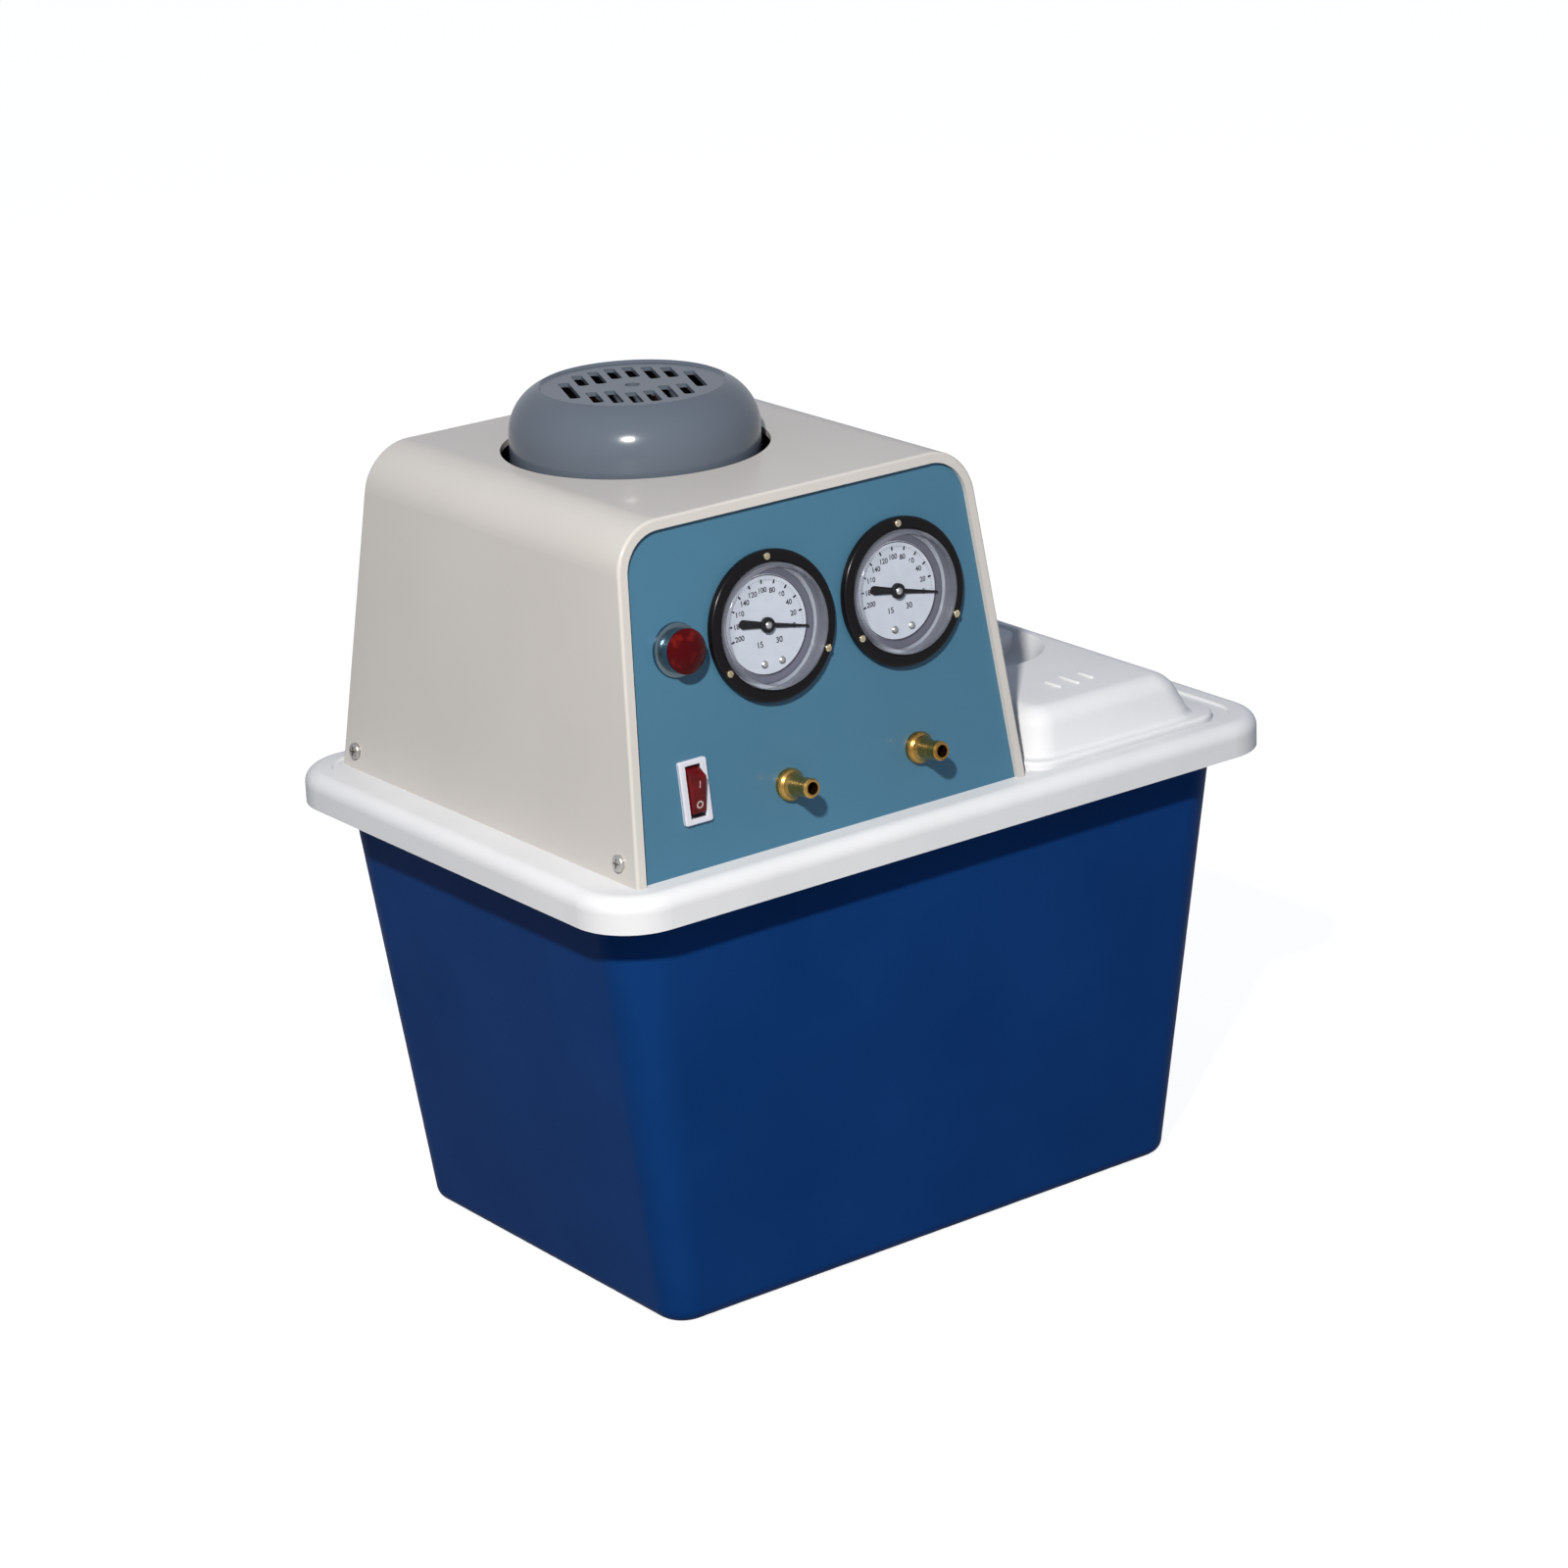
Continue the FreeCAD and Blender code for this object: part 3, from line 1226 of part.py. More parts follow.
def make_lower_bell():
    """Drive-end shield on its square foot plate, with bearing pocket, shaft hole and bolt holes."""
    collar_top = lid_top + foot_plate_thickness + bell_collar_height
    slant = 3.0
    points = [
        (0.0, lid_top), (bell_collar_radius, lid_top), (bell_collar_radius, collar_top),
        (bell_radius, collar_top + slant), (housing_radius, housing_foot - slant),
        (housing_radius, housing_foot), (0.0, housing_foot),
    ]
    bell = revolved(points, motor_x, motor_y)
    plate = rounded_block(foot_plate_size, foot_plate_size, foot_plate_corner, lid_top,
                          foot_plate_thickness, motor_x, motor_y)
    bell = joined(bell, plate)
    for x, y in plate_bolt_places():
        bell = bell.cut(cylinder(bolt_radius + slip_gap, lid_top, foot_plate_thickness, x, y))
    pocket = housing_foot - bearing_width
    bell = bell.cut(cylinder(bearing_outer + snug_gap, pocket, bearing_width, motor_x, motor_y))
    return bell.cut(cylinder(shaft_radius + turn_gap, lid_top, bell_height, motor_x, motor_y))


def make_housing():
    """Ribbed stator housing."""
    body = cylinder(housing_radius, housing_foot, housing_height, motor_x, motor_y)
    rib = centred_box(housing_rib_height + 1.5, housing_rib_width, housing_foot + 4, housing_height - 8,
                      motor_x + housing_radius + housing_rib_height / 2 - 0.75, motor_y)
    body = body.fuse(around(rib, housing_rib_count, motor_x, motor_y)).removeSplitter()
    return body.cut(cylinder(housing_radius - housing_wall, housing_foot, housing_height, motor_x, motor_y))


def make_stator_core():
    """Laminated core with open slots towards the rotor."""
    foot = housing_foot + stator_margin
    height = housing_height - 2 * stator_margin
    core = ring(housing_radius - housing_wall - snug_gap, stator_bore, foot, height, motor_x, motor_y)
    slot = centred_box(stator_slot_depth + 2, stator_slot_width, foot, height,
                       motor_x + stator_bore + stator_slot_depth / 2 - 1, motor_y)
    return core.cut(around(slot, stator_slot_count, motor_x, motor_y))


def make_windings():
    """End turns of the copper winding, one ring on each end of the core."""
    foot = housing_foot + stator_margin
    top = housing_top - stator_margin
    rings = []
    for z in (foot - winding_height, top):
        coil = ring(winding_outer, winding_inner, z, winding_height, motor_x, motor_y)
        far = z if z < foot else z + winding_height
        rings.append(coil.makeFillet(4.0, edges_at(coil, far)))
    return Part.makeCompound(rings)


def make_top_bell():
    """Fan-end shield with its bearing pocket."""
    disc = cylinder(fan_cover_radius - fan_cover_wall - snug_gap, housing_top, top_bell_height, motor_x, motor_y)
    disc = disc.makeChamfer(1.0, edges_at(disc, housing_top + top_bell_height))
    disc = disc.cut(cylinder(bearing_outer + snug_gap, housing_top, bearing_width, motor_x, motor_y))
    return disc.cut(cylinder(shaft_radius + turn_gap, housing_top, top_bell_height, motor_x, motor_y))


def make_bearings():
    """Two ball bearings, shown as closed rings with a shallow seal groove."""
    rings = []
    for z in (housing_foot - bearing_width, housing_top):
        bearing = ring(bearing_outer, bearing_inner + snug_gap, z, bearing_width, motor_x, motor_y)
        for face in (z, z + bearing_width - 0.6):
            bearing = bearing.cut(ring(bearing_outer - 3, bearing_inner + 3, face, 0.6, motor_x, motor_y))
        rings.append(bearing)
    return Part.makeCompound(rings)


def arc_edge(radius, centre_x, centre_z, start, end):
    """Arc in the XZ plane, from one angle to another in degrees."""
    points = []
    for angle in (start, (start + end) / 2, end):
        turn = math.radians(angle)
        points.append(V(centre_x + radius * math.cos(turn), 0, centre_z + radius * math.sin(turn)))
    return Part.Arc(*points).toShape(), points[0], points[2]


def make_fan_cover():
    """Domed fan cover with a sunk disc and a circular field of parallel slots."""
    foot = housing_top
    centre_x = fan_cover_radius - fan_cover_dome
    reach = math.degrees(math.acos((fan_disc_radius - centre_x) / fan_cover_dome))
    crest = foot + fan_cover_height
    centre_z = crest - fan_cover_dome * math.sin(math.radians(reach))
    outer, outer_start, outer_end = arc_edge(fan_cover_dome, centre_x, centre_z, 0, reach)
    inner_radius = fan_cover_dome - fan_cover_wall
    disc_top = crest - fan_disc_drop
    disc_under = disc_top - fan_cover_wall
    inner_reach = math.degrees(math.asin((disc_under - centre_z) / inner_radius))
    inner, inner_start, inner_end = arc_edge(inner_radius, centre_x, centre_z, inner_reach, 0)
    corners = [
        V(fan_cover_radius, 0, foot), outer_start, outer_end, V(fan_disc_radius - 1.2, 0, disc_top),
        V(0, 0, disc_top), V(0, 0, disc_under), inner_start, inner_end,
        V(fan_cover_radius - fan_cover_wall, 0, foot),
    ]
    edges = [Part.makeLine(corners[0], corners[1]), outer]
    for first, second in zip(corners[2:6], corners[3:7]):
        edges.append(Part.makeLine(first, second))
    edges.append(inner)
    edges.append(Part.makeLine(corners[7], corners[8]))
    edges.append(Part.makeLine(corners[8], corners[0]))
    cover = Part.Face(Part.Wire(edges)).revolve(V(0, 0, 0), Z_AXIS, 360)
    cuts = [cylinder(fan_centre_hole, disc_under - 1, fan_cover_wall + 2)]
    for step, near, far in fan_slot_rows:
        for side in (-1, 1):
            for end in (-1, 1):
                cuts.append(slot_block(side * step * fan_slot_pitch, end * (near + far) / 2, far - near, disc_under))
    for side in (-1, 1):
        step = fan_slot_rows[-1][0] + 1
        cuts.append(slot_block(side * step * fan_slot_pitch, 0, 2 * fan_end_slot_half, disc_under))
    cover = cover.cut([turned(cut, fan_slot_turn - 90) for cut in cuts])
    cover.translate(V(motor_x, motor_y, 0))
    return cover


def slot_block(x, y, length, under):
    """Cutter for one slot of the fan cover, running along Y."""
    return rounded_block(fan_slot_width, length, fan_slot_width * 0.3, under - 1, fan_cover_wall + 4, x, y)


def make_fan():
    """Radial cooling fan: hub, disc and straight blades."""
    hub = cylinder(fan_hub_radius, fan_foot, fan_height - fan_shaft_recess, motor_x, motor_y)
    disc = cylinder(fan_radius, fan_foot, fan_disc_thickness, motor_x, motor_y)
    span = fan_radius - fan_hub_radius + 1
    blade = centred_box(span, fan_blade_thickness, fan_foot, fan_height,
                        motor_x + fan_radius - span / 2, motor_y)
    fan = joined(hub, disc, *around(blade, fan_blade_count, motor_x, motor_y))
    return fan.cut(cylinder(shaft_thin_radius, fan_foot - 1, fan_height + 2, motor_x, motor_y))


def make_shaft():
    """Stepped shaft from the impeller to the cooling fan."""
    thick_foot = lid_top + slip_gap
    thick_top = housing_top + top_bell_height + 1.0
    points = [
        (0.0, impeller_foot + 1.0), (shaft_thin_radius, impeller_foot + 1.0), (shaft_thin_radius, thick_foot),
        (shaft_radius, thick_foot), (shaft_radius, thick_top), (shaft_thin_radius, thick_top),
        (shaft_thin_radius, shaft_top), (0.0, shaft_top),
    ]
    return revolved(points, motor_x, motor_y)


def make_rotor_core():
    """Squirrel-cage rotor with its end rings."""
    foot = housing_foot + stator_margin
    height = housing_height - 2 * stator_margin
    core = cylinder(stator_bore - turn_gap, foot, height, motor_x, motor_y)
    rings = [cylinder(stator_bore - 4.0, z, 5.0, motor_x, motor_y) for z in (foot - 5.0, foot + height)]
    core = joined(core, *rings)
    return core.cut(cylinder(shaft_radius, foot - 5, height + 10, motor_x, motor_y))


def make_column():
    """Tube that carries the pump below the lid, with windows and two flanges."""
    foot = column_foot
    tube = cylinder(column_radius, foot, column_length, motor_x, motor_y)
    top = cylinder(column_flange_radius, lid_top - column_flange_height, column_flange_height, motor_x, motor_y)
    low = cylinder(column_flange_radius, foot, column_flange_height, motor_x, motor_y)
    body = joined(tube, top, low)
    body = body.cut(cylinder(column_radius - column_wall, foot + column_flange_height,
                             column_length, motor_x, motor_y))
    window_foot = lid_top - column_flange_height - column_window_drop - column_window_height
    window = centred_box(column_radius + 5, column_window_width, window_foot, column_window_height,
                         motor_x + (column_radius + 5) / 2, motor_y)
    body = body.cut(around(window, column_window_count, motor_x, motor_y))
    return body.cut(cylinder(bush_radius + snug_gap, foot, column_flange_height, motor_x, motor_y))


def make_bush():
    """Bronze bush that steadies the shaft above the impeller."""
    bush = cylinder(bush_radius, column_foot, bush_height, motor_x, motor_y)
    return bush.cut(cylinder(shaft_thin_radius + snug_gap, column_foot, bush_height, motor_x, motor_y))


def make_casing():
    """Pump casing: round chamber, a tangential spigot for the ejectors and one for the back outlet."""
    body = cylinder(casing_radius, casing_foot, casing_height, motor_x, motor_y)
    body = body.makeFillet(3.0, edges_at(body, casing_foot + casing_height))
    front = V(riser_x, motor_y, pipe_level)
    back = V(outlet_valve_x, motor_y, pipe_level)
    body = joined(body, Part.makeCylinder(pipe_radius, spigot_reach, front, Y_AXIS * -1),
                  Part.makeCylinder(water_hose_bore - snug_gap, water_spigot_end - motor_y, back, Y_AXIS))
    body = body.cut(Part.makeCylinder(pipe_bore, spigot_reach, front, Y_AXIS * -1))
    body = body.cut(Part.makeCylinder(water_nozzle_bore, water_spigot_end - motor_y, back, Y_AXIS))
    body = body.cut(cylinder(chamber_radius, casing_foot, chamber_top - casing_foot, motor_x, motor_y))
    return body.cut(cylinder(shaft_thin_radius + turn_gap, casing_foot, casing_height, motor_x, motor_y))


def make_pump_cover():
    """Bottom cover with the suction eye and a slotted strainer skirt."""
    foot = casing_foot - pump_cover_height
    plate = cylinder(casing_radius, foot, pump_cover_height, motor_x, motor_y)
    skirt = cylinder(strainer_radius, foot - strainer_height, strainer_height + 1, motor_x, motor_y)
    inner = cylinder(strainer_radius - strainer_wall, foot - strainer_height + strainer_wall,
                     strainer_height - strainer_wall, motor_x, motor_y)
    window = centred_box(strainer_radius + 5, strainer_window_width, foot - strainer_height + 4,
                         strainer_height - 6, motor_x + (strainer_radius + 5) / 2, motor_y)
    skirt = skirt.cut(inner).cut(around(window, strainer_window_count, motor_x, motor_y))
    return joined(plate, skirt).cut(cylinder(eye_radius, foot - 1, pump_cover_height + 1, motor_x, motor_y))


def make_impeller():
    """Open impeller: disc, hub and backward-curved vanes below the disc."""
    disc_foot = impeller_foot + impeller_vane_height
    disc = cylinder(impeller_radius, disc_foot, impeller_disc)
    hub = cylinder(impeller_hub_radius, impeller_foot, impeller_vane_height)
    curve = impeller_radius * 0.62
    vane = ring(curve + impeller_vane_thickness / 2, curve - impeller_vane_thickness / 2, impeller_foot,
                impeller_vane_height, curve * 0.75, -curve * 0.45)
    keep = cylinder(impeller_radius, impeller_foot, impeller_vane_height).cut(
        cylinder(impeller_hub_radius - 1, impeller_foot, impeller_vane_height))
    half = Part.makeBox(4 * impeller_radius, 2 * impeller_radius, impeller_vane_height,
                        V(-2 * impeller_radius, -curve * 0.45, impeller_foot))
    vane = vane.common(keep).common(half)
    vane = max(vane.Solids, key=lambda solid: solid.Volume)
    impeller = joined(disc, hub, *around(vane, impeller_vane_count))
    impeller.translate(V(motor_x, motor_y, 0))
    return impeller.cut(cylinder(shaft_thin_radius, impeller_foot - 1, 2 * impeller_vane_height, motor_x, motor_y))


def pipework(radius, end):
    """Solid tree of the discharge pipes at one radius, reaching down to the given height."""
    start = V(riser_x, motor_y - spigot_reach, pipe_level)
    corner = V(riser_x, ejector_y, pipe_level)
    top = V(riser_x, ejector_y, manifold_level)
    pieces = [
        Part.makeCylinder(radius, start.y - corner.y, corner, Y_AXIS),
        Part.makeSphere(radius, corner),
        Part.makeCylinder(radius, top.z - corner.z, corner, Z_AXIS),
        Part.makeCylinder(radius, gauge_x[1] - gauge_x[0], V(gauge_x[0], ejector_y, manifold_level), X_AXIS),
    ]
    for x in gauge_x:
        pieces.append(Part.makeSphere(radius, V(x, ejector_y, manifold_level)))
        pieces.append(cylinder(radius, end, manifold_level - end, x, ejector_y))
    return joined(*pieces)


def make_manifold():
    """Riser and cross pipe that feed both ejectors, with a collar over the casing's spigot."""
    end = ejector_top - ejector_socket_length + 3.0
    tree = pipework(pipe_radius, end)
    start = motor_y - spigot_reach
    collar = Part.makeCylinder(collar_radius, collar_length + 6.0, V(riser_x, start - 6.0, pipe_level), Y_AXIS)
    collar = collar.cut(Part.makeCylinder(pipe_radius + snug_gap, collar_length, V(riser_x, start, pipe_level), Y_AXIS))
    return joined(tree, collar).cut(pipework(pipe_bore, end)).cut(
        Part.makeCylinder(pipe_bore, 8.0, V(riser_x, start - 7.0, pipe_level), Y_AXIS))


def make_ejector(x):
    """Water jet ejector: socket, jet, suction chamber with its barb, and diffuser tail."""
    top = ejector_top
    socket_foot = top - ejector_socket_length
    chamber_foot = socket_foot - ejector_chamber_length
    tail_foot = chamber_foot - ejector_tail_length
    outer = [
        (0.0, tail_foot), (ejector_tail_radius, tail_foot), (ejector_tail_radius, chamber_foot - 5),
        (ejector_chamber_radius, chamber_foot), (ejector_chamber_radius, top), (0.0, top),
    ]
    body = revolved(outer, x, ejector_y)
    jet_foot = socket_foot - ejector_chamber_length * 0.55
    barb = Part.makeCylinder(valve_barb_radius, ejector_chamber_radius + ejector_barb_length,
                             V(x, ejector_y, chamber_level), Y_AXIS * -1)
    body = joined(body, barb)
    body = body.cut(cylinder(pipe_radius + snug_gap, socket_foot + 3.0, ejector_socket_length, x, ejector_y))
    jet_bore = [(0.0, jet_foot), (ejector_jet_radius, jet_foot), (pipe_bore, socket_foot),
                (pipe_bore, socket_foot + 4), (0.0, socket_foot + 4)]
    roof = socket_foot - 4.0
    chamber = [(ejector_jet_radius + ejector_jet_wall, jet_foot), (pipe_bore + ejector_jet_wall / 2, roof),
               (ejector_chamber_bore, roof), (ejector_chamber_bore, jet_foot)]
    mixing = [(0.0, tail_foot), (ejector_mouth, tail_foot), (ejector_throat, chamber_foot - 12),
              (ejector_chamber_bore, chamber_foot + 4), (ejector_chamber_bore, jet_foot), (0.0, jet_foot)]
    for points in (jet_bore, chamber, mixing):
        body = body.cut(revolved(points, x, ejector_y))
    port = Part.makeCylinder(valve_bore, ejector_chamber_radius + ejector_barb_length,
                             V(x, ejector_y - ejector_chamber_bore + 1, chamber_level), Y_AXIS * -1)
    return body.cut(port)


def make_water_hose():
    """Hose from the casing's back spigot up to the outlet valve."""
    return hose(water_hose_points(), water_hose_bend, water_hose_radius, water_hose_bore)


def make_capacitor():
    """Motor capacitor with a foot ring and two terminals."""
    can = cylinder(capacitor_radius, lid_top, capacitor_height, capacitor_x, capacitor_y)
    can = can.makeFillet(2.0, edges_at(can, lid_top + capacitor_height))
    foot = cylinder(capacitor_radius + 3, lid_top, 3.0, capacitor_x, capacitor_y)
    tabs = [centred_box(1.0, 6.0, lid_top + capacitor_height - 1, 9.0, capacitor_x + side * 6, capacitor_y)
            for side in (-1, 1)]
    return joined(can, foot, *tabs)


def all_nodes():
    """Every sub-part by name."""
    nodes = {
        "tank": make_tank(),
        "overflow_nozzle": make_outlet(overflow_height),
        "drain_nozzle": make_outlet(drain_height),
        "drain_cap": make_drain_cap(),
        "tank_lid": make_lid(),
        "filler_cover": make_filler_cover(),
        "hood": make_hood(),
        "hood_screws": make_hood_screws(),
        "front_panel": make_front_panel(),
        "back_panel": make_back_panel(),
        "lamp_bezel": on_front(make_lamp_bezel(), lamp_x, gauge_up),
        "lamp_lens": on_front(make_lamp_lens(), lamp_x, gauge_up),
        "switch_frame": on_front(make_switch_frame(), switch_x, switch_up),
        "switch_rocker": on_front(make_rocker(), switch_x, switch_up),
        "gauge_screws": make_gauge_screws(),
        "water_outlet_valve": on_back(make_outlet_valve(), outlet_valve_x, outlet_up),
        "valve_knob": on_back(make_knob(), outlet_valve_x, knob_up),
        "return_spout": make_return_spout(),
        "fuse_holder": on_back(make_fuse_holder(), fuse_x, fuse_up),
        "fuse_cap": on_back(make_fuse_cap(), fuse_x, fuse_up),
        "cable_gland": on_back(make_gland(), gland_x, gland_up),
        "motor_bolts": make_motor_bolts(),
        "lower_end_bell": make_lower_bell(),
        "motor_housing": make_housing(),
        "stator_core": make_stator_core(),
        "stator_windings": make_windings(),
        "upper_end_bell": make_top_bell(),
        "motor_bearings": make_bearings(),
        "fan_cover": make_fan_cover(),
        "cooling_fan": make_fan(),
        "motor_shaft": make_shaft(),
        "rotor_core": make_rotor_core(),
        "capacitor": make_capacitor(),
        "pump_column": make_column(),
        "shaft_bush": make_bush(),
        "pump_casing": make_casing(),
        "pump_cover": make_pump_cover(),
        "impeller": make_impeller(),
        "discharge_manifold": make_manifold(),
        "circulation_hose": make_water_hose(),
    }
    for side, x in zip(("left", "right"), gauge_x):
        nodes["gauge_bezel_" + side] = on_front(make_bezel(), x, gauge_up)
        nodes["gauge_case_" + side] = on_front(make_gauge_case(), x, gauge_up)
        nodes["gauge_dial_" + side] = on_front(make_dial(), x, gauge_up)
        nodes["gauge_lens_" + side] = on_front(make_lens(), x, gauge_up)
        nodes["gauge_pointer_" + side] = on_front(make_pointer(), x, gauge_up)
        nodes["suction_nozzle_" + side] = on_front(make_suction_nozzle(), x, nozzle_up)
        nodes["check_valve_" + side] = on_front(make_check_valve(), x, nozzle_up)
        nodes["gauge_hose_" + side] = make_gauge_hose(x)
        nodes["suction_hose_" + side] = make_suction_hose(x)
        nodes["ejector_" + side] = make_ejector(x)
    return nodes


def export_all():
    os.makedirs("parts", exist_ok=True)
    for name, shape in all_nodes().items():
        shape.exportStep("parts/" + name + ".step")
        print(name, len(shape.Solids), "solids, volume", round(shape.Volume, 1))


export_all()
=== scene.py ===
import json
import math

import bmesh
import bpy
from mathutils import Matrix, Vector


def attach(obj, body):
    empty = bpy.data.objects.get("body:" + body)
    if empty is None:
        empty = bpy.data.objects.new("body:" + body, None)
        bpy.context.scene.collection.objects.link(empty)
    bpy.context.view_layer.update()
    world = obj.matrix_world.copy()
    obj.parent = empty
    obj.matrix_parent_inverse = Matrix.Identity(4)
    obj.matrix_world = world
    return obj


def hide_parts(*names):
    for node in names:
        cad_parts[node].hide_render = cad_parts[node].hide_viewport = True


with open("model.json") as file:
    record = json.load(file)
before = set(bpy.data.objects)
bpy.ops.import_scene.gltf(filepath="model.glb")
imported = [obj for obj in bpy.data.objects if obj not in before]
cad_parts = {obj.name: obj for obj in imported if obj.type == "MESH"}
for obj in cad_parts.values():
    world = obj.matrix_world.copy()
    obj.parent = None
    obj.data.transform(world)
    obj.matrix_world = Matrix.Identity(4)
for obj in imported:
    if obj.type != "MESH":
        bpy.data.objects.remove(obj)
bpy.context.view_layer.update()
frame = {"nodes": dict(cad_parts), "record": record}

nodes = frame["nodes"]
slotOf = {part["node"]: part["material_slot"] for part in frame["record"]["subparts"]}
print("frame loaded with", len(nodes), "nodes")

scene = bpy.context.scene
scene.view_settings.view_transform = "Standard"
closeBy = 1e-6  # metres within which two places count as one


def tone(colour):
    return (*colour, 1)


# one socket of a material, so that shader maths reads like ordinary sums
class Wire:
    def __init__(self, graph, socket):
        self.graph = graph
        self.socket = socket

    def maths(self, operation, *values):
        return self.graph.node("ShaderNodeMath", {"operation": operation}, dict(enumerate(values)))

    def __add__(self, other):
        return self.maths("ADD", self, other)

    def __radd__(self, other):
        return self.maths("ADD", other, self)

    def __sub__(self, other):
        return self.maths("SUBTRACT", self, other)

    def __rsub__(self, other):
        return self.maths("SUBTRACT", other, self)

    def __mul__(self, other):
        return self.maths("MULTIPLY", self, other)

    def __rmul__(self, other):
        return self.maths("MULTIPLY", other, self)


# a node tree that is filled through one method
class Graph:
    def __init__(self, owner):
        owner.use_nodes = True
        self.tree = owner.node_tree
        self.tree.nodes.clear()

    def node(self, kind, settings=None, sockets=None, out=0):
        made = self.tree.nodes.new(kind)
        for key, value in (settings or {}).items():
            if key == "stops":
                for stop, (place, shade) in zip(made.color_ramp.elements, value):
                    stop.position = place
                    stop.color = (shade, shade, shade, 1)
            else:
                setattr(made, key, value)
        for key, value in (sockets or {}).items():
            if isinstance(value, Wire):
                self.tree.links.new(value.socket, made.inputs[key])
            else:
                made.inputs[key].default_value = value
        return Wire(self, made.outputs[out]) if made.outputs else None

    def place(self, turn=(0, 0, 0), stretch=(1, 1, 1)):
        spot = self.node("ShaderNodeTexCoord", out="Object")
        return self.node("ShaderNodeMapping", {"vector_type": "TEXTURE"},
                         {0: spot, "Rotation": [math.radians(t) for t in turn], "Scale": stretch})

    def noise(self, scale, detail=4.0, place=None):
        return self.node("ShaderNodeTexNoise", None,
                         {"Vector": place or self.place(), "Scale": scale, "Detail": detail, "Roughness": 0.55})

    def ramp(self, value, *stops):
        return self.node("ShaderNodeValToRGB", {"stops": stops}, {0: value})

    def blend(self, share, first, second):
        first, second = [c if isinstance(c, Wire) else tone(c) for c in (first, second)]
        return self.node("ShaderNodeMix", {"data_type": "RGBA"}, {0: share, 6: first, 7: second}, out=2)

    def bump(self, height, strength, distance):
        return self.node("ShaderNodeBump", None, {"Height": height, "Strength": strength, "Distance": distance})

    def surface(self, sockets):
        return self.node("ShaderNodeBsdfPrincipled", None, sockets)

    def finish(self, shader):
        self.node("ShaderNodeOutputMaterial", None, {0: shader})


def newMaterial(name):
    material = bpy.data.materials.new(name)
    return material, Graph(material)


# moulded plastic and sprayed paint: soft colour drift, fine skin and specks of dust
moulded = {"driftScale": 14, "drift": ((0.35, 0.0), (0.68, 1.0)), "speckScale": 900,
           "specks": ((0.66, 0.0), (0.72, 1.0)), "speckShare": 0.12, "skinScale": 420, "skin": 0.06,
           "skinDepth": 0.0006, "rubScale": 30, "roughDrift": 0.1}
mouldedSockets = {"specular": "Specular IOR Level", "coat": "Coat Weight", "coatRough": "Coat Roughness"}


def mouldedFinish(name, look):
    look = {**moulded, "speckColour": look["deep"], **look}
    material, graph = newMaterial(name)
    drift = graph.noise(look["driftScale"], 3)
    speck = graph.noise(look["speckScale"], 2)
    colour = graph.blend(graph.ramp(drift, *look["drift"]), look["colour"], look["deep"])
    colour = graph.blend(graph.ramp(speck, *look["specks"]) * look["speckShare"], colour, look["speckColour"])
    skin = graph.bump(graph.noise(look["skinScale"], 3), look["skin"], look["skinDepth"])
    rough = look["rough"] + (graph.noise(look["rubScale"], 5) - 0.5) * look["roughDrift"]
    sockets = {"Base Color": colour, "Roughness": rough, "Normal": skin}
    sockets.update({socket: look[key] for key, socket in mouldedSockets.items() if key in look})
    if "tint" in look:
        sockets["Specular Tint"] = tone(look["tint"])
    graph.finish(graph.surface(sockets))
    return material


tankBlue = {"colour": (0.005, 0.038, 0.160), "deep": (0.004, 0.033, 0.141), "rough": 0.42, "roughDrift": 0.10,
            "skin": 0.05, "skinScale": 260, "speckShare": 0.05, "specular": 0.03, "tint": (0.10, 0.45, 1.0)}
lidWhite = {"colour": (0.715, 0.72, 0.73), "deep": (0.675, 0.68, 0.69), "rough": 0.34, "roughDrift": 0.16,
            "skin": 0.12, "skinScale": 320, "speckShare": 0.10, "speckColour": (0.55, 0.56, 0.57), "specular": 0.12}
hoodCream = {"colour": (0.570, 0.542, 0.505), "deep": (0.542, 0.515, 0.480), "rough": 0.34, "roughDrift": 0.10,
             "skin": 0.05, "skinScale": 520, "speckShare": 0.06, "driftScale": 9, "coat": 0.18, "coatRough": 0.07,
             "specular": 0.15}
panelTeal = {"colour": (0.056, 0.160, 0.245), "deep": (0.052, 0.150, 0.232), "rough": 0.34, "roughDrift": 0.08,
             "skin": 0.05, "skinScale": 600, "speckShare": 0.03, "specular": 0.25, "coat": 0.12, "coatRough": 0.10}
coverGrey = {"colour": (0.100, 0.120, 0.150), "deep": (0.092, 0.112, 0.142), "rough": 0.20, "roughDrift": 0.06,
             "skin": 0.03, "skinScale": 240, "speckShare": 0.03, "coat": 0.28, "coatRough": 0.12, "specular": 0.2}
bezelBlack = {"colour": (0.004, 0.003, 0.004), "deep": (0.006, 0.005, 0.005), "rough": 0.24, "roughDrift": 0.08,
              "skin": 0.04, "speckShare": 0.05, "speckColour": (0.04, 0.035, 0.035), "specular": 0.2}
plainBlack = {"colour": (0.018, 0.018, 0.020), "deep": (0.026, 0.026, 0.028), "rough": 0.50, "roughDrift": 0.12,
              "skin": 0.15, "skinScale": 700, "speckShare": 0.15, "speckColour": (0.07, 0.07, 0.075)}
rockerRed = {"colour": (0.12, 0.002, 0.003), "deep": (0.075, 0.001, 0.002), "rough": 0.30, "roughDrift": 0.05,
             "skin": 0.03, "driftScale": 120, "coat": 0.1, "coatRough": 0.08, "specular": 0.2}
fanRed = {"colour": (0.34, 0.075, 0.055), "deep": (0.25, 0.055, 0.042), "rough": 0.52, "roughDrift": 0.15,
          "skin": 0.12, "speckShare": 0.2, "speckColour": (0.25, 0.12, 0.10), "driftScale": 60}
